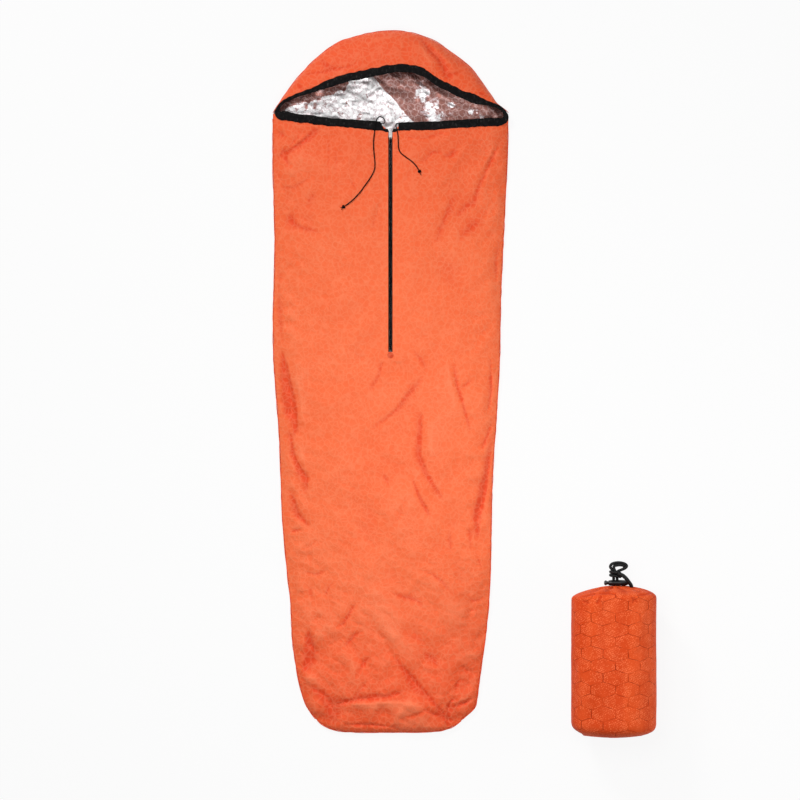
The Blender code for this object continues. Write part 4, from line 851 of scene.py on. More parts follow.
def silver_film():
    """Vacuum-metallised film over orange cloth. Its colour carries painted light and shade: dim brown painted
    shade where the tone is low, white silver where it is lit, painted reflections that differ from facet to
    facet of the crumples, and painted glints.
    """
    n = Nodes("silver_film")
    where = n.cloth_place()
    tone = n.attribute("foil_tone_and_painted_light")
    loose = n.warped(where, 0.016, 0.0024)
    line = n.stroke(n.hexagons(loose, 0.0205, 0.0178), 0.018, 0.060)
    grain_way = n.turned(n.warped(where, 0.012, 0.004), -40)
    long_way = n.scaled(grain_way, 1.0, 0.45, 1.0)
    wide, small = n.facets(long_way, 0.0080), n.facets(loose, 0.0044)
    ridge = n.cracks(long_way, 0.0100)
    crack = n.stroke(ridge, 0.04, 0.15)
    broken = n.steps(n.noise(where, 60.0), 0.44, 0.54)
    # The lit silver; where the tone is low the foil carries painted shade.
    lit_silver = n.steps(tone, 0.15, 0.65)
    # Painted reflection: each crumple facet is lighter or darker.
    share = n.line_of(wide, 0.45, n.line_of(small, 0.55, -0.50))
    value = n.math("ADD", tone, n.times(share, n.line_of(n.steps(tone, 0.0, 0.4), 0.50, 0.28)))
    # Dim brown painted shade, with paler embossed hexagon lines on it as painted highlight; mauve, then white
    # silver, as the tone rises.
    n.mix(n.steps(value, -0.45, 0.00), (0.145, 0.050, 0.040), (0.280, 0.114, 0.092))
    n.tint(n.times(line, n.steps(value, -0.55, 0.05, 0.15, 0.62)), (0.64, 0.43, 0.41))
    n.tint(n.steps(value, 0.16, 0.30), (0.55, 0.40, 0.41))
    n.tint(n.steps(value, 0.30, 0.52), (1.0, 0.985, 0.99))
    # Darker mauve strokes and crack lines on the lit silver.
    strokes = n.steps(n.noise(n.scaled(grain_way, 55.0, 240.0, 1.0), 1.0), 0.55, 0.66)
    n.tint(n.times(strokes, lit_silver), (0.55, 0.40, 0.43), 0.70)
    n.tint(n.times(n.times(crack, broken), lit_silver), (0.42, 0.28, 0.30), 0.55)
    # Painted glints along the cracks in the painted shade.
    glint = n.times(crack, n.math("SUBTRACT", 1.0, lit_silver))
    n.tint(n.times(glint, broken), (0.80, 0.62, 0.61), 0.25)
    n.bump(line, 0.35, 0.0005)
    n.bump(wide, 0.30, 0.0008)
    n.bump(ridge, 0.35, 0.0008)
    return n.finish(n.line_of(n.noise(where, 600.0, 2.0, 0.5), 0.15, 0.33), Metallic=0.60)


def black_tape():
    """Folded woven tape: matt black, ribbed across, with painted grey sheen in streaks."""
    n = Nodes("black_tape_cloth")
    where = n.object_place()
    crinkle = n.noise(where, 240.0, 4.0)
    n.mix(n.steps(n.noise(where, 90.0, 4.0), 0.45, 0.8), (0.0038, 0.0034, 0.0036), (0.0130, 0.0120, 0.0125))
    # Painted sheen: grey streaks.
    streak = n.noise(n.scaled(where, 190.0, 70.0, 70.0), 1.0)
    n.tint(n.steps(streak, 0.56, 0.72), (0.042, 0.039, 0.038), 0.75)
    n.bump(n.threads(where, 0.0012), 0.4, 0.0002)
    n.bump(crinkle, 0.8, 0.0010)
    return n.finish(n.line_of(crinkle, 0.25, 0.50), Specular_IOR_Level=0.05)


def braided_cord(name, pitch, gloss):
    n = Nodes(name)
    where = n.object_place()
    strands = n.threads(n.turned(where, 40), pitch)
    rub = n.noise(where, 160.0)
    n.mix(n.times(strands, 0.6), (0.003, 0.003, 0.003), (0.010, 0.0095, 0.010))
    n.tint(n.steps(rub, 0.55, 0.9), (0.016, 0.015, 0.0155))
    n.bump(strands, 0.7, pitch * 0.25)
    return n.finish(n.line_of(rub, 0.2, 0.38), Specular_IOR_Level=gloss)


def moulded(name, colour, roughness, speck, gloss):
    """Moulded plastic: even colour, faint mould texture, paler where it is handled."""
    n = Nodes(name)
    where = n.object_place()
    grain = n.noise(where, speck, 3.0, 0.5)
    worn = tuple(c * 1.8 + 0.006 for c in colour)
    n.mix(n.steps(n.noise(where, speck * 0.12, 4.0, 0.7), 0.5, 0.85), colour, worn)
    n.bump(grain, 0.15, 0.0001)
    return n.finish(n.line_of(grain, 0.12, roughness), Specular_IOR_Level=gloss)


def plated_metal(name, colour, roughness):
    """Die-cast, plated metal, duller in patches and finely brushed."""
    n = Nodes(name)
    where = n.object_place()
    dull = n.noise(where, 300.0)
    n.mix(n.steps(dull, 0.4, 0.8), colour, tuple(c * 0.72 for c in colour))
    n.bump(n.noise(n.scaled(where, 900.0, 90.0, 900.0), 1.0), 0.12, 0.0001)
    return n.finish(n.line_of(dull, 0.2, roughness), Metallic=1.0)


ORANGE = orange_cloth("bag_cloth", 0.0)
ORANGE_TRIM = orange_cloth("trim_cloth", 0.9)
# The patch is painted a darker orange, as painted shade standing in for the shadow at its raised edge.
ORANGE_PATCH = orange_cloth("patch_cloth", 0.9, (0.620, 0.050, 0.014))
SACK = sack_cloth()
SILVER = silver_film()
TAPE = black_tape()
CORD_FINISH = braided_cord("drawcord_braid", 0.0009, 0.03)
SACK_CORD_FINISH = braided_cord("sack_cord_braid", 0.0024, 0.16)
ZIP_PLASTIC = moulded("zip_nylon", (0.0045, 0.0042, 0.0042), 0.42, 900.0, 0.05)
LOCK_PLASTIC = moulded("lock_gloss", (0.005, 0.005, 0.006), 0.26, 300.0, 0.40)
ZIP_METAL = plated_metal("zip_plating", (0.54, 0.53, 0.52), 0.26)
DARK_METAL = plated_metal("dark_plating", (0.050, 0.048, 0.046), 0.35)
SPRING_STEEL = plated_metal("spring_wire", (0.50, 0.50, 0.51), 0.25)

# CAD pieces that stay: finish and width of the softened edges
KEPT_NODES = {"zip_slider": (ZIP_METAL, 0.00025), "zip_pull_tab": (ZIP_METAL, 0.0002),
              "zip_bottom_stop": (DARK_METAL, 0.0003),
              "cord_lock_body": (LOCK_PLASTIC, 0.0008), "cord_lock_button": (LOCK_PLASTIC, 0.0006)}


def make_camera():
    camera = bpy.data.cameras.new("photo_camera")
    camera.sensor_width = SENSOR
    camera.lens = SENSOR * VIEW_HEIGHT / VIEW_SPAN
    camera.clip_end = 100.0
    thing = placed("photo_camera", camera)
    thing.location = (*VIEW_CENTRE, VIEW_HEIGHT)
    bpy.context.scene.camera = thing


def area_light(name, place, aim, size, power):
    light = bpy.data.lights.new(name, "AREA")
    light.size = size
    light.energy = power
    thing = placed(name, light)
    thing.location = place
    thing.rotation_euler = (Vector(aim) - Vector(place)).to_track_quat("-Z", "Y").to_euler()
    thing.visible_camera = False


def make_stage():
    """White floor and even light. The floor keeps a soft shadow, and its white comes from its own colour."""
    n = Nodes("floor_paper")
    n.colour = (FLOOR_GREY, FLOOR_GREY, FLOOR_GREY, 1)
    n.finish(0.9)
    glow = n.add("ShaderNodeEmission", {"Color": (1, 1, 1, 1), "Strength": 1.0})
    seen = n.times(n.rays("Camera", "Glossy", "Transmission"), FLOOR_WHITE)
    mixed = n.add("ShaderNodeMixShader", {0: seen, 1: n.shader.outputs[0], 2: glow})
    n.link(mixed, n.tree.nodes["Material Output"].inputs["Surface"])
    corners = np.array([(-1, -1, 0), (1, -1, 0), (1, 1, 0), (-1, 1, 0)]) * FLOOR_HALF
    floor = mesh_object("floor", corners, [(0, 1, 2, 3)], n.owner)
    floor.location.z = FLOOR_Z

    sky = Nodes("studio", "worlds")
    bpy.context.scene.world = sky.owner
    back = sky.tree.nodes["Background"]
    level = {"Value": sky.rays("Camera", "Glossy"), "To Min": WORLD_LEVEL, "To Max": 1.0}
    sky.link((1.0, 1.0, 1.0, 1.0), back.inputs[0])
    sky.link(sky.add("ShaderNodeMapRange", level), back.inputs[1])
    for lamp in LAMPS:
        area_light(*lamp)
    bpy.context.scene.view_settings.view_transform = "Standard"


def lay_cord(route):
    """Heights for a cord's route: out of the channel, over the binding, then on the chest panel."""
    laid = []
    over_binding = CHEST_EDGE_Y + CHANNEL + EDGE_CLEAR
    under_lip = CHEST_EDGE_Y - LIP_REACH - 2.0 * CORD
    for i, (x, y) in enumerate(route):
        surface = float(front_height(x, min(y, CHEST_EDGE_Y)))
        lift = CORD / 2.0 + CORD_CLEAR
        if i < 2:
            lift = -STACK / 2.0
        elif y > over_binding:
            lift = CORD_PAST_EDGE
        elif y > under_lip and abs(x) > BINDING_START:
            lift += CORD_ON_TAPE
        laid.append((x, y, surface + lift))
    return laid


def trefoil(centre, radius, depth, turn, points, opening=0.30):
    """An overhand knot: a trefoil that is open where the cord comes in."""
    t = np.linspace(opening, 2 * np.pi - opening, points)
    wide = radius + depth * np.cos(3 * t)
    return np.stack([centre[0] + wide * np.cos(2 * t + turn), centre[1] + wide * np.sin(2 * t + turn),
                     centre[2] + depth * np.sin(3 * t)], -1)


def make_free_cord(name, route, node, tail_ways):
    line = smooth_route(lay_cord(route), CORD_STEP)
    way = unit(line[-1] - line[-2])
    centre = line[-1] + way * KNOT_STEP
    centre[2] = float(front_height(centre[0], centre[1])) + KNOT_LIFT
    loops = trefoil(centre, KNOT_RADIUS, KNOT_DEPTH, math.atan2(-way[1], -way[0]), 90)
    knot = tube_mesh(name + "_knot", loops, KNOT_STRAND, CORD_FINISH, 10)
    side = np.array([-way[1], way[0], 0.0])
    tails = []
    for k, (lean, long) in enumerate(tail_ways):
        start = centre + way * TAIL_START
        ways = [0.0 * way, (way + side * lean) * 0.5 * long, (way + side * lean * 1.4) * long]
        tail = start + np.array(ways)
        tail[:, 2] = centre[2]
        tail = smooth_route(tail, TAIL_STEP)
        tails.append(tube_mesh(f"{name}_tail_{k + 1}", tail, TAIL_STRAND, CORD_FINISH, 8))
    cord = cord_curve(name, line, CORD_SEEN, CORD_FINISH)
    dress(cord, "bag", "black_cord", node)
    dress(knot, "bag", "black_cord", node + "_knot")
    for tail in tails:
        dress(tail, "bag", "black_cord")


def mouth_middle():
    return np.array([SACK_X + SACK_MOUTH_SHIFT, SACK_BOTTOM_Y + SACK_LENGTH, SACK_RADIUS - SACK_SETTLE])


def make_sack_cord():
    start = mouth_middle()
    path = [smooth_route(start + np.array(route), SACK_CORD_STEP)
            for route in (SACK_ROUTE, SACK_SECOND, SACK_CURL)]
    cord = cord_curve("sack_drawcord", path[0], SACK_CORD, SACK_CORD_FINISH)
    turn = np.linspace(0, 3 * np.pi, 90)
    knot_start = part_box("sack_cord_knot")[0].y + SACK_CORD / 2.0
    wrap = np.stack([start[0] + SACK_KNOT_RADIUS * np.cos(turn),
                     knot_start + SACK_KNOT_LONG * turn / turn[-1],
                     start[2] + SACK_KNOT_RADIUS * np.sin(turn)], -1)
    pieces = [tube_mesh(name, line, thick / 2.0, SACK_CORD_FINISH, 12) for name, line, thick in (
        ("sack_drawcord_knot", wrap, SACK_CORD), ("sack_drawcord_second", path[1], SACK_CORD),
        ("sack_drawcord_curl", path[2], SACK_CURL_THICK))]
    dress(cord, "stuff_sack", "black_cord", "sack_cord")
    dress(pieces[0], "stuff_sack", "black_cord", "sack_cord_knot")
    for strand in pieces[1:]:
        dress(strand, "stuff_sack", "black_cord")


def front_rows():
    rows = np.concatenate([np.arange(CHEST_EDGE_Y, FOOT_Y + 0.03, -0.0040),
                           np.linspace(FOOT_Y + 0.03, FOOT_Y, 16)])
    rows[np.argmin(np.abs(rows - ZIP_BOTTOM_Y))] = ZIP_BOTTOM_Y
    return rows


def row_side(middle):
    """Y at the side seam of the row that crosses the middle at a place."""
    top = ramp(ZIP_BOTTOM_Y, CHEST_EDGE_Y, middle)
    foot = ramp(FOOT_Y + FOOT_ROUND, FOOT_Y, middle)
    return middle + (SHOULDER_Y - CHEST_EDGE_Y) * top + (FOOT_CORNER_Y - FOOT_Y) * foot


def front_points(rows, columns=84):
    even = np.linspace(0, 1, columns)[1:]
    share = 0.35 * even + 0.65 * np.sin(0.5 * np.pi * even)
    points = []
    for middle in rows:
        side = row_side(middle)
        bend = FOOT_BEND if middle < LOW_START_Y else 2.0
        row = []
        for sign, seam in ((-1.0, LEFT_SEAM), (1.0, RIGHT_SEAM)):
            wide = abs(float(seam_x(np.clip(side, FOOT_CORNER_Y, SHOULDER_Y), seam)))
            x = np.concatenate([NEAR_ZIP, BINDING_START + (wide - BINDING_START) * share])
            half = np.stack([sign * x, middle + (side - middle) * (x / wide) ** bend], -1)
            row.append(half[::-1] if sign < 0 else half[1:])
        points.append(np.concatenate(row))
    flat = np.array(points)
    shift = shift_at(flat[..., 0], CHEST_SHIFT)
    dip = np.where(flat[..., 0] < 0, *SLOT_DIPS)
    shift = shift - dip * ramp(0.028, SLOT_HALF, np.abs(flat[..., 0]))
    flat[..., 1] += shift * ramp(0.62, CHEST_EDGE_Y, rows)[:, None]
    height, relief = front_shape(flat[..., 0], flat[..., 1])
    return raised(flat, height), flat, relief


def raised(flat, height):
    """Places seen from above, with their height."""
    return np.concatenate([flat, np.broadcast_to(height, flat.shape[:-1])[..., None]], -1)


def normals_of(points):
    along = np.gradient(points, axis=0)
    across = np.gradient(points, axis=1)
    normal = np.cross(along, across)
    normal /= np.linalg.norm(normal, axis=-1)[..., None] + 1e-12
    return np.where(normal[..., 2:] < 0, -normal, normal)


def mouth_y(x, reach):
    """The hood's edge from above."""
    drop = (HOOD_EDGE_Y - HOOD_CORNER_Y) * reach ** HOOD_BACK_POWER
    return HOOD_EDGE_Y - drop + shift_at(x, HOOD_SHIFT)


def foil_tone_and_painted_light(x, y):
    """How bright the foil is, with painted light and shade: lit silver on the left, painted shade to the
    right of its long crease.
    """
    way = CREASE_WAY
    right = ((x - CREASE_START[0]) * -way[1] + (y - CREASE_START[1]) * way[0]) / math.hypot(*way)
    right = right + 0.006 * noise_field(x, y, 0.05, 21)
    shaded_side = ramp(-0.0015, 0.0025, right)
    tone = SILVER_TONE - SHADED_SIDE_DROP * shaded_side
    tone -= (1 - shaded_side) * STREAK_DEPTH * ramp(0.40, 0.75, wrinkled(x, y, FILM_STREAKS))
    # Painted highlights in patches on the shaded side.
    bright = np.zeros(np.shape(x))
    for spot_x, spot_y, wide, high in FILM_SPOTS:
        bright = np.maximum(bright, np.exp(-((x - spot_x) / wide) ** 2 - ((y - spot_y) / high) ** 2))
    patchy = ramp(-0.25, 0.35, noise_field(x, y, 0.014, 24, 1.4))
    tone += shaded_side * bright * (0.45 + 0.80 * patchy)
    # Painted highlight along the long crease.
    crease = np.exp(-((right - 0.003) / 0.0026) ** 2) * (y > 0.74) * (y < 0.93)
    tone = np.maximum(tone, crease * CREASE_TONE)
    # Painted shade in the left corner under the hood, and a darker spot.
    tone -= 0.5 * ramp(-0.20, -0.29, x + 0.55 * (y - 0.86)) * ramp(0.805, 0.83, y)
    tone -= 0.45 * np.exp(-((x + 0.100) / 0.020) ** 2 - ((y - 0.872) / 0.022) ** 2)
    # Painted shadow under the hood's edge: a band from the middle towards the right, and a deeper ragged one
    # under its left part.
    behind = mouth_y(x, np.clip(np.abs(x) / HOOD_CORNER_HALF, 0, 1) ** (1.0 / HOOD_SIDE_POWER)) - y
    under = ramp(0.034, 0.016, behind) * ramp(-0.045, -0.005, x)
    tone -= 0.45 * under * ramp(0.16, 0.10, x)
    ragged = 0.010 * noise_field(x, y, 0.022, 25)
    tone -= 0.90 * ramp(0.031, 0.025, behind + ragged) * ramp(-0.110, -0.150, x)
    # Painted shade at the right end.
    tone -= 0.30 * ramp(0.27, 0.30, x)
    return np.clip(tone, -0.45, 1.0)


def crumple(x, y, height, seed, least, most):
    """Sharp creases in many directions, as in foil that was folded and smoothed out again."""
    random = np.random.default_rng(seed)
    total = np.zeros(np.shape(x))
    for k in range(9):
        angle = random.uniform(0, 180)
        pitch = random.uniform(least, most)
        along, across = turned(x, y, angle)
        along = along + 0.43 * least * noise_field(x, y, 2.1 * least, seed + k + 1)
        wave = np.abs(((along / pitch + random.uniform(0, 1)) % 1.0) - 0.5) * 2.0
        mask = ramp(-0.1, 0.6, noise_field(x, y, 1.5 * most, seed + 40 + k))
        total += mask * pitch * (wave - 0.5)
    return total * height


def make_panel(name, points, flat, relief, tone, keeps):
    """A panel's cloth and the foil under it. Returns the way out of its surface."""
    normal = normals_of(points)
    # The relief paints shade into the cloth's fold grooves and highlight onto its ridges.
    cloth = grid(name + "_cloth", points, ORANGE, flat, keeps[0], CLOTH, {"relief": relief / RELIEF})
    inner = points - normal * FOIL_DEPTH
    foil = grid(name + "_foil", inner, SILVER, flat, keeps[1], FOIL, {"foil_tone_and_painted_light": tone})
    for piece, part, slot in ((cloth, "_panel", "orange_fabric"), (foil, "_lining", "silver_foil")):
        dress(piece, "bag", slot, name + part)
    return normal


def make_front():
    rows = front_rows()
    points, flat, relief = front_points(rows)
    middle = points.shape[1] // 2
    keeps = []
    for half in (2, 5):
        keep = np.ones((len(rows) - 1, points.shape[1] - 1), bool)
        keep[rows[1:] > ZIP_BOTTOM_Y - 1e-6, middle - half:middle + half] = False
        keeps.append(keep)
    tone = foil_tone_and_painted_light(flat[..., 0], flat[..., 1])
    return points, make_panel("front", points, flat, relief, tone, keeps)


def hood_rim(place):
    reach = np.abs(place)
    right = HOOD_RIGHT_SHARE + (1.0 - HOOD_RIGHT_SHARE) * ramp(0.93, 1.0, reach)
    x = np.sign(place) * SHOULDER_HALF * reach ** HOOD_RIM_POWER * np.where(place > 0, right, 1.0)
    y = HOOD_TOP_Y - (HOOD_TOP_Y - HOOD_BASE_Y) * reach ** 2 + shift_at(x, RIM_SHIFT)
    return np.stack([x, y, np.full(np.shape(x), SEAM_HEIGHT)], -1)


def hood_edge(place):
    reach = np.abs(place)
    x = np.sign(place) * HOOD_CORNER_HALF * reach ** HOOD_SIDE_POWER
    low = SEAM_HEIGHT + 0.004
    return np.stack([x, mouth_y(x, reach), low + (HOOD_HEIGHT - low) * crown(reach)], -1)


def hood_points():
    places = HOOD_END * np.sin(np.linspace(-0.5 * np.pi, 0.5 * np.pi, 181))
    share = (1.0 - np.sin(np.linspace(0, 0.5 * np.pi, 64)) ** 1.2)[:, None]
    rim, edge = hood_rim(places), hood_edge(places)
    flat = rim[None, :, :2] * (1 - share[..., None]) + edge[None, :, :2] * share[..., None]
    height = SEAM_HEIGHT + (edge[None, :, 2] - SEAM_HEIGHT) * crown(1.0 - share)
    x, y = flat[..., 0], flat[..., 1]
    loose = ramp(0.0, 0.3, 1.0 - np.abs(2.0 * share - 1.0))
    loose = loose * ramp(1.0, 0.9, np.abs(places))[None]
    wrinkles = wrinkled(x, y, HOOD_WRINKLES)
    lines = fold_height(x, y, HOOD_FOLDS)
    height = height + loose * (lines + wrinkles)
    return raised(flat, height), flat, loose * (lines + WRINKLE_RELIEF * wrinkles)


def make_hood():
    points, flat, relief = hood_points()
    if normals_sign(points) < 0:
        points, flat, relief = points[:, ::-1], flat[:, ::-1], relief[:, ::-1]
    tone = 0.25 + 0.3 * noise_field(flat[..., 0], flat[..., 1], 0.03, 35)
    return points, make_panel("hood", points, flat, relief, tone, (None, None))


def normals_sign(points):
    """Above 0 where the middle of a grid faces up."""
    a = points[len(points) // 2, points.shape[1] // 2]
    right = points[len(points) // 2, points.shape[1] // 2 + 1] - a
    down = points[len(points) // 2 + 1, points.shape[1] // 2] - a
    return np.cross(down, right)[2]


def outline():
    """The seam line in four parts, anticlockwise from the right foot corner."""
    ys = np.linspace(FOOT_CORNER_Y, SHOULDER_Y, 240)
    right = np.stack([seam_x(ys, RIGHT_SEAM), ys], -1)
    left = np.stack([seam_x(ys, LEFT_SEAM), ys], -1)[::-1]
    hood = hood_rim(np.linspace(1.0, -1.0, 160))[:, :2]
    share = np.linspace(-1, 1, 90)[1:-1]
    wide = np.where(share < 0, abs(LEFT_SEAM[0][1]), RIGHT_SEAM[0][1])
    foot = np.stack([share * wide, FOOT_Y + (FOOT_CORNER_Y - FOOT_Y) * np.abs(share) ** FOOT_BEND], -1)
    return right, hood, left, foot


def outward(way):
    normal = np.stack([way[:, 1], -way[:, 0]], -1)
    return normal / (np.linalg.norm(normal, axis=1)[:, None] + 1e-12)


def make_back():
    """The back: cloth flat on the floor whose edge turns up to the seam."""
    right, hood, left, foot = outline()
    line = np.concatenate([right, hood[1:-1], left, foot])
    way = outward(np.roll(line, -1, axis=0) - np.roll(line, 1, axis=0))
    rings = []
    for angle in np.radians(np.linspace(0, 90, 7)):
        inset = line - way * SEAM_HEIGHT * (1 - math.cos(angle))
        rings.append(raised(inset, SEAM_HEIGHT * (1 - math.sin(angle))))
    index = np.arange(len(rings) * len(line)).reshape(len(rings), -1)
    after = np.roll(index, -1, axis=1)
    faces = np.stack([index[:-1], index[1:], after[1:], after[:-1]], -1).reshape(-1, 4)
    points = np.concatenate(rings)
    cloth = mesh_object("back_cloth", points, faces, ORANGE, points[:, :2], ends=[index[-1][::-1]])
    dress(cloth, "bag", "orange_fabric", "back_panel")


def back_foil_height(x, y, share, tone):
    """The inner foil: crumpled where it shows, turned up along the seam."""
    rim = ramp(0.90, 1.0, share)
    lift = FOIL_LIFT[0] + FOIL_LIFT[1] * ramp(0.45, 0.95, share)
    fine = 0.25 + 0.75 * ramp(-0.05, 0.55, tone)
    large, small = (crumple(x, y, *crumples) for crumples in FOIL_CRUMPLES)
    bumps = large + small * fine + FOIL_SWELL * noise_field(x, y, 0.09, 61)
    return FOIL_REST + (lift + bumps) * (1 - rim) + (SEAM_HEIGHT - 0.0045) * rim


def sides_at(y):
    """X of the seam on the left and on the right, at a place along the bag."""
    if y > HOOD_BASE_Y:
        place = math.sqrt((HOOD_TOP_Y - y) / (HOOD_TOP_Y - HOOD_BASE_Y))
        return hood_rim(np.array(-place))[0], hood_rim(np.array(place))[0]
    if y > SHOULDER_Y:
        return -SHOULDER_HALF, SHOULDER_HALF
    at = max(y, FOOT_CORNER_Y)
    inset = 1.0
    if y < FOOT_CORNER_Y:
        inset = ((y - FOOT_Y) / (FOOT_CORNER_Y - FOOT_Y)) ** (1.0 / FOOT_BEND)
    return seam_x(at, LEFT_SEAM) * inset, seam_x(at, RIGHT_SEAM) * inset


def make_back_foil():
    rows = np.concatenate([np.linspace(1.040, 0.66, 130), np.linspace(0.64, FOOT_Y + 0.02, 90)])
    columns = np.linspace(-1, 1, 221)
    share = np.sign(columns) * (1 - (1 - np.abs(columns)) ** 1.25)
    points = np.zeros((len(rows), len(columns), 3))
    for r, y in enumerate(rows):
        left, right = sides_at(y)
        points[r, :, 0] = np.where(share < 0, share * -left, share * right) * 0.988
        points[r, :, 1] = y
    x, y = points[..., 0], points[..., 1]
    y += (shift_at(x, RIM_SHIFT) - 0.001) * ramp(0.86, 0.93, y)
    edge = np.maximum(np.abs(share)[None], ramp(0.92, 1.04, y))
    edge = np.maximum(edge, ramp(FOOT_Y + 0.10, FOOT_Y + 0.02, y))
    under_front = np.where(y < CHEST_EDGE_Y, front_height(x, np.minimum(y, CHEST_EDGE_Y)) - 0.006, 1.0)
    tone = foil_tone_and_painted_light(x, y)
    height = np.minimum(back_foil_height(x, y, edge, tone), np.maximum(under_front, 0.0025))
    points[..., 2] = np.maximum(height, 0.0022)
    foil = grid("back_foil", points, SILVER, thick=FOIL, values={"foil_tone_and_painted_light": tone})
    dress(foil, "bag", "silver_foil", "back_lining")


def edge_tape(name, cloth, normal, node, seed, share, slant=0.0):
    """A folded tape round a cloth's first row, ruffled by its cord. Returns its middle, width and channel."""
    edge = cloth[0]
    depths = np.array([run_along(cloth[:31, k]) for k in range(len(edge))]).T
    out = edge - cloth[3]
    out = unit(out - normal * (out * normal).sum(-1)[:, None])
    run = run_along(edge)
    way = unit(np.gradient(edge, axis=0))
    ruffle = noise_along(run, 0.014, seed)
    lip = LIP * share + LIP_RUFFLE[0] * ruffle + LIP_RUFFLE[1] * noise_along(run, 0.0065, seed + 3)
    reach = CHANNEL * share + CHANNEL_RUFFLE[0] * noise_along(run, 0.030, seed + 1)
    reach = reach + CHANNEL_RUFFLE[1] * noise_along(run, 0.009, seed + 4)
    puff = BINDING_OUT * (0.7 + 0.3 * share) + PUFF_RUFFLE * np.abs(ruffle)
    middle = edge - normal * (STACK / 2.0)
    near_zip = ramp(0.030, 0.0, np.abs(edge[:, 0]) - BINDING_START)
    cut = way * (slant * near_zip)[:, None]

    def place(along, height):
        """A point of the tape: on the cloth behind its edge, or straight out past it."""
        spot = middle + out * along[:, None]
        if along.max() < 0:
            for k, depth in enumerate(-along):
                spot[k] = [np.interp(depth, depths[:, k], cloth[:31, k, axis]) for axis in range(3)]
            spot -= normal * (STACK / 2.0)
        return spot + cut * (along / (LIP + CHANNEL))[:, None] + normal * (height + 0.0 * run)[:, None]

    def depth_at(part):
        return (lip if part <= 0 else reach) * part

    ring = []
    for part, height in TAPE_SIDE:
        wrinkle = 1.0 + 0.55 * noise_field(run, np.full(run.shape, part * 0.02), 0.0085, seed + 2)
        ring.append(place(depth_at(part), puff * height * wrinkle))
    for angle in np.radians(TAPE_NOSE):
        ring.append(place(reach + puff * math.cos(angle) * 1.1, puff * 1.15 * math.sin(angle)))
    ring += [place(depth_at(part), -puff * height) for part, height in reversed(TAPE_SIDE)]
    ring += [place(depth_at(part), -LAYER_GAP) for part in (-1.0, -0.5, 0.0)]
    ring += [place(depth_at(part), LAYER_GAP) for part in (0.0, -0.5, -1.0)]
    dress(wind(name, np.stack(ring, 1), TAPE), "bag", "black_tape", node)
    centre = middle + out * ((reach - lip) / 2.0)[:, None]
    return centre, (reach + lip) / 2.0, middle + out * (CORD_IN_TAPE * share)[:, None]


def make_bindings(front, front_normal, hood, hood_normal):
    """The black tape round the mouth: two chest pieces, the hood's piece and a turn at each corner."""
    middle = front.shape[1] // 2
    row = front[0, :, 0]
    first, last = (int(np.argmin(np.abs(row - x))) for x in CHEST_TAPE_ENDS)
    start = 7
    if hood[0, 0, 0] > 0:
        hood, hood_normal = hood[:, ::-1], hood_normal[:, ::-1]
    places = hood[0, :, 0]
    hood_first, hood_last = (int(np.argmin(np.abs(places - x))) for x in (-HOOD_TAPE_HALF, HOOD_TAPE_HALF))
    pieces = {}
    for side, part, seed, slant in (("left", slice(first, middle - start + 1), 71, -0.014),
                                    ("right", slice(middle + start, last + 1), 75, 0.0)):
        share = 1.0 + 0.22 * ramp(0.27, 0.33, np.abs(row[part])) * (side == "left")
        pieces[side] = edge_tape("chest_tape_" + side, front[:, part], front_normal[0, part],
                                 "chest_binding_" + side, seed, share, slant)
    part = slice(hood_first, hood_last + 1)
    x = places[part]
    share = 0.42 + 0.58 * ramp(-0.262, -0.170, x) * ramp(0.315, 0.250, x)
    share = share - 0.12 * ramp(-0.01, 0.02, x) * ramp(0.10, 0.07, x)
    over = edge_tape("hood_tape", hood[:, part], hood_normal[0, part], "hood_binding", 79, share)
    left_turn = corner_tape("left", over, 0, pieces["left"], 0, TURN_PULLS[0], 121)
    right_turn = corner_tape("right", over, -1, pieces["right"], -1, TURN_PULLS[1], 123)
    channel = np.concatenate([pieces["left"][2][::-1], left_turn[::-1][1:-1], over[2], right_turn[1:-1],
                              pieces["right"][2][::-1]])
    channel = smooth_route([*channel[::6], channel[-1]], 0.003)
    cord = tube_mesh("channel_cord", channel, CORD / 2.0, CORD_FINISH, 8)
    dress(cord, "bag", "black_cord", "drawcord_in_channel")


def corner_tape(side_name, upper, upper_end, lower, lower_end, pull, seed):
    """The tape's turn at a corner of the mouth, from the hood's piece to the chest's piece."""
    ends = []
    for (line, half, _), end in ((upper, upper_end), (lower, lower_end)):
        inward = line[6] - line[0] if end == 0 else line[-7] - line[-1]
        ends.append((line[end], -unit(inward), half[end]))
    (a, way_a, half_a), (b, way_b, half_b) = ends
    a, b = a - way_a * TURN_OVERLAP, b - way_b * TURN_OVERLAP
    t = np.linspace(0, 1, 70)[:, None]
    line = a * (1 - t) ** 3 + (a + way_a * pull) * 3 * t * (1 - t) ** 2
    line = line + (b + way_b * pull) * 3 * t * t * (1 - t) + b * t ** 3
    side, up = frames_along(line)
    run = np.linspace(0, run_along(line)[-1], len(line))
    half = half_a + (half_b - half_a) * ramp(0.35, 1.0, t[:, 0]) + TURN_SWELL * np.sin(np.pi * t[:, 0])
    half = half + 0.0006 * noise_along(run, 0.008, seed)
    deep = TURN_DEPTH + 0.0004 * noise_along(run, 0.006, seed + 1)
    turn = circle(22)
    wide = np.sign(np.cos(turn)) * np.abs(np.cos(turn)) ** 0.5
    high = np.sign(np.sin(turn)) * np.abs(np.sin(turn)) ** 0.7
    ring = line[:, None] + side[:, None] * (half[:, None] * wide)[..., None]
    ring = ring + up[:, None] * (deep[:, None] * high)[..., None]
    dress(wind("corner_tape_" + side_name, ring, TAPE), "bag", "black_tape", "channel_corner_" + side_name)
    return line


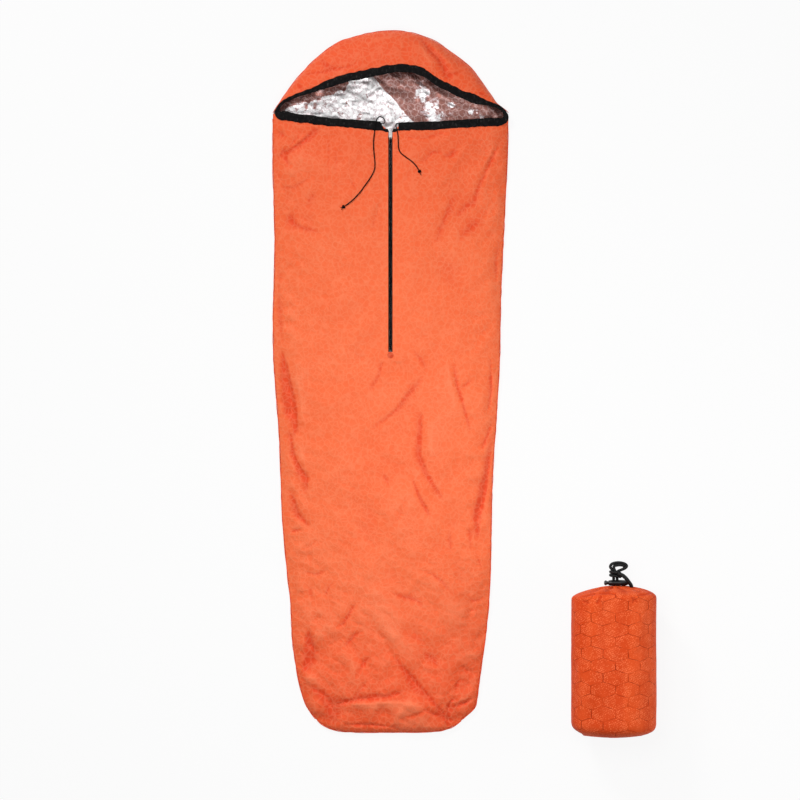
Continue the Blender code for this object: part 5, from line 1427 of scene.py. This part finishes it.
def make_zip():
    top = CHEST_HEIGHT - TAPE_DROP
    y = np.concatenate([np.linspace(ZIP_BOTTOM_Y + 0.0004, TAPE_FLARE_Y, 260),
                        np.linspace(TAPE_FLARE_Y, TAPE_TOP_Y, 16)[1:]])
    spread = ramp(TAPE_FLARE_Y, TAPE_TOP_Y, y)
    across = np.linspace(0, 1, 9)
    curl = TAPE_CURL * spread[:, None] * (1 - across)
    lift = TAPE_LIFT * ramp(TAPE_FLARE_Y - 0.001, TAPE_FLARE_Y + 0.004, y)[:, None]
    for name, sign, wider, phase in zip(("left", "right"), (-1.0, 1.0), TAPE_SPREADS, (0.0, np.pi)):
        inner = TAPE_INNER + TAPE_FLARE * spread
        outer = TAPE_HALF + wider * spread
        x = inner[:, None] + (outer - inner)[:, None] * across
        z = top - 0.0001 * noise_field(x, y[:, None], 0.01, 91) + np.maximum(curl, lift)
        points = np.stack([sign * x, np.broadcast_to(y[:, None], x.shape), z], -1)
        if normals_sign(points) < 0:
            points = points[:, ::-1]
        tape = grid("zip_tape_cloth_" + name, points, TAPE, thick=TAPE_THICK)
        dress(tape, "bag", "black_tape", "zip_tape_" + name)

        low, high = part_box("zip_teeth_" + name)
        turns = int((high.y - low.y - 0.001) / COIL_PITCH)
        turn = np.linspace(0, 2 * np.pi * turns, turns * 10)
        line = np.stack([sign * (COIL_X[0] + COIL_X[1] * np.cos(turn + phase)),
                         low.y + 0.0005 + COIL_PITCH * turn / (2 * np.pi),
                         top - COIL_DROP + COIL_RADIUS * np.sin(turn + phase)], -1)
        coil = tube_mesh("zip_coil_" + name, line, COIL_WIRE, ZIP_PLASTIC, 5)
        dress(coil, "bag", "zip_plastic", "zip_teeth_" + name)


def make_patch():
    """Round patch sewn over the lower end of the zip."""
    centre = np.array([0.0, ZIP_BOTTOM_Y - PATCH_DROP, CHEST_HEIGHT + 0.0003])
    ring = np.array([[centre + (r * math.cos(a), r * math.sin(a), z) for a in circle(64)]
                     for r, z in PATCH_RINGS])
    patch = wind("zip_patch", ring, ORANGE_PATCH, ring[..., :2].reshape(-1, 2))
    dress(patch, "bag", "orange_fabric", "zip_end_patch")


def make_seams():
    """The turned seam along the bag's edge: narrow, slightly wavy rolls."""
    nodes = ("side_seam_right", "hood_seam", "side_seam_left", "foot_seam")
    for k, (name, line, node) in enumerate(zip(("right", "hood", "left", "foot"), outline(), nodes)):
        seed = 101 + 2 * k
        run = run_along(line)
        way = outward(np.gradient(line, axis=0))
        wavy = SEAM_WAVE * noise_along(run, 0.018, seed)
        turn = circle(12)
        centre = raised(line + way * (SEAM_OUT + wavy)[:, None], SEAM_HEIGHT)
        out = raised(way, 0.0)
        high = SEAM_HALF_HIGH + SEAM_RUFFLE * noise_along(run, 0.010, seed + 1)
        ring = centre[:, None] + out[:, None] * (SEAM_HALF_WIDE * np.cos(turn))[None, :, None]
        ring = ring + np.array([0, 0, 1.0]) * (high[:, None] * np.sin(turn)[None])[..., None]
        flat = np.stack([np.broadcast_to(run[:, None], ring.shape[:2]), ring[..., 2]], -1)
        roll = wind("seam_roll_" + name, ring, ORANGE_TRIM, flat.reshape(-1, 2))
        dress(roll, "bag", "orange_fabric", node)


def sack_profile():
    """Radius and place along the sack, from the middle of its base to its mouth."""
    shares, rises = np.array(BASE_PROFILE).T
    base = np.concatenate([np.linspace(0.02, 0.80, 14), np.linspace(0.82, 1.0, 20)])
    wall = np.linspace(rises[-1], SACK_LENGTH - SACK_DOME, 100)[1:-1]
    dome = 1.0 - (1.0 - SACK_MOUTH / SACK_RADIUS) * np.linspace(0, 1, 44) ** 1.5
    rise = SACK_DOME * (1.0 - np.clip(dome, 0, 1) ** SACK_DOME_POWER) ** SACK_DOME_ROOT
    radius = SACK_SEEN_RADIUS * np.concatenate([base, np.ones(len(wall)), dome])
    return radius, np.concatenate([np.interp(base, shares, rises), wall, SACK_LENGTH - SACK_DOME + rise])


def sack_tucks(r, a, angle):
    """Depth of the small tucks below the mouth, on the upper side."""
    tuck = np.zeros((len(r), angle.shape[1]))
    for x_start, y_start, x_end, y_end, half, depth in SACK_TUCKS:
        way = np.array([x_end - x_start, y_end - y_start])
        px = SACK_SEEN_X + r * np.sin(angle) - x_start
        py = SACK_BOTTOM_Y + a - y_start
        t = np.clip((px * way[0] + py * way[1]) / (way @ way), 0.0, 1.0)
        distance = np.hypot(px - way[0] * t, py - way[1] * t)
        tuck -= depth * (np.cos(angle - np.pi) > 0) * np.exp(-(distance / half) ** 2)
    return tuck


def make_sack():
    radius, along = sack_profile()
    angle = np.linspace(0, 2 * np.pi, SACK_SIDES + 1)[None]
    run = run_along(np.stack([radius, along], -1))
    r, a = radius[:, None], along[:, None]
    around = SACK_SEEN_RADIUS * (angle - np.pi) + 0 * a
    upper = a > 0.5 * SACK_LENGTH
    body = ramp(0.02, 0.10, a) * ramp(SACK_LENGTH, SACK_LENGTH - 0.07, a)
    from_seam = np.clip(np.minimum(angle, 2 * np.pi - angle) / 0.35, 0, 1)
    seam_match = 0.5 * (1 - np.cos(from_seam * np.pi))
    facing = 0.25 + 0.75 * ramp(0.1, 0.8, np.abs(np.cos(angle)))
    push = seam_match * facing * (body + 0.35) * wrinkled(around, a + 0 * around, SACK_DENTS)
    closeness = np.clip((SACK_RADIUS - r) / (SACK_RADIUS - SACK_MOUTH), 0, 1) * upper
    pleats = np.cos(PLEATS * angle + 1.3 * np.sin(3 * angle))
    gathers = GATHER_HEIGHT * closeness * noise_field(around, a + 0 * around, 0.03, 114) * seam_match
    ripple = PLEAT_HEIGHT * closeness ** 1.4 * pleats + gathers
    tuck = sack_tucks(r, a, angle)
    push = push + TUCK_DEPTH * np.maximum(tuck, -2.0)
    wide = r + push * (r / SACK_SEEN_RADIUS)
    shift = (SACK_X + SACK_MOUTH_SHIFT - SACK_SEEN_X) * closeness ** 2
    across = wide * np.sin(angle)
    leftness = -across / SACK_SEEN_RADIUS
    sunk = SACK_SUNK[0] * ramp(0.15, 0.95, leftness) * upper * (1 - body)
    sunk = sunk - SACK_SUNK[1] * ramp(0.6, 1.0, leftness) * (a < 0.5 * SACK_LENGTH) * (1 - body)
    y = SACK_BOTTOM_Y + a + ripple - 0.5 * np.abs(push) * (1 - body) - sunk
    z = np.maximum(0.0003, SACK_RADIUS - SACK_SETTLE - wide * np.cos(angle))
    points = np.stack([SACK_SEEN_X + shift + across, y, z], -1)
    flat = np.stack([around, np.broadcast_to(run[:, None], around.shape)], -1)
    # Relief for the sack's painted shade and highlight: its pleats and tucks.
    deep = closeness ** 0.5 * pleats * 0.9 + tuck
    shell = grid("sack_shell", points, SACK, flat, thick=SACK_THICK, values={"relief": deep})
    dress(shell, "stuff_sack", "sack_fabric", "sack_wall", "sack_base", "sack_collar", "sack_base_seam")


def make_lock_spring():
    """The spring in the cord lock."""
    low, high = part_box("cord_lock_spring")
    turn = np.linspace(0, 2 * np.pi * SPRING_TURNS, 40 * SPRING_TURNS)
    radius = (high.y - low.y) / 2.0 - SPRING_WIRE
    rise = ramp(0.5 * np.pi, turn[-1] - 0.5 * np.pi, turn) * 0.15 + 0.85 * turn / turn[-1]
    along = low.x + SPRING_WIRE + (high.x - low.x - 2.0 * SPRING_WIRE) * rise
    line = np.stack([along, (low.y + high.y) / 2.0 + radius * np.cos(turn),
                     (low.z + high.z) / 2.0 + radius * np.sin(turn)], -1)
    spring = tube_mesh("lock_spring", line, SPRING_WIRE, SPRING_STEEL, 8)
    dress(spring, "cord_lock", "spring_steel", "cord_lock_spring")
    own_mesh(spring)


def make_bundle():
    """The rolled bag inside the sack."""
    low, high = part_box("packed_bundle")
    turn = np.linspace(0, 2 * np.pi, 49)
    y = np.linspace(low.y + BUNDLE_ENDS[0], high.y - BUNDLE_ENDS[1], 40)
    share = (y - y[0]) / (y[-1] - y[0])
    size = (SACK_RADIUS - BUNDLE_INSET) * (1 - np.abs(2 * share - 1) ** 8 * 0.25)
    size = size[:, None] - 0.002 * (1 + np.cos(9 * turn))[None]
    z = np.maximum(0.003, SACK_RADIUS - SACK_SETTLE - size * np.cos(turn))
    points = np.stack([SACK_X + size * np.sin(turn), np.broadcast_to(y[:, None], size.shape), z], -1)
    dress(grid("rolled_bag", points, ORANGE), "stuff_sack", "folded_film", "packed_bundle")


def make_hem():
    """The fluted hem of the sack's mouth."""
    middle = mouth_middle()
    low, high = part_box("sack_hem")
    turn = np.linspace(0, 2 * np.pi, 97)
    share, along = np.array(HEM_PROFILE).T[..., None]
    size = HEM_RADIUS * share * (1.0 - 0.05 * share * (1 + np.cos(PLEATS * turn)))
    y = np.broadcast_to(low.y + along * (high.y - low.y), size.shape)
    points = np.stack([middle[0] + size * np.sin(turn), y, middle[2] - size * np.cos(turn)], -1)
    dress(grid("sack_hem_cloth", points, SACK, points[..., [0, 2]]), "stuff_sack", "sack_fabric", "sack_hem")


def dress_nodes():
    """Materials and softened edges for the CAD pieces that stay."""
    for name, (finish, width) in KEPT_NODES.items():
        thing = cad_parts[name]
        thing.data.materials.clear()
        thing.data.materials.append(finish)
        bevel = thing.modifiers.new("edges", "BEVEL")
        bevel.width = width
        bevel.segments = 2
        bevel.limit_method = "ANGLE"
        bevel.angle_limit = math.radians(35)


def main():
    make_camera()
    make_free_cord("drawcord_end_left", LEFT_ROUTE, "drawcord_left", LEFT_TAILS)
    make_free_cord("drawcord_end_right", RIGHT_ROUTE, "drawcord_right", RIGHT_TAILS)
    make_sack_cord()
    make_stage()
    front, front_normal = make_front()
    hood, hood_normal = make_hood()
    make_back()
    make_back_foil()
    make_bindings(front, front_normal, hood, hood_normal)
    make_zip()
    make_patch()
    make_seams()
    make_sack()
    make_bundle()
    make_lock_spring()
    make_hem()
    dress_nodes()


main()
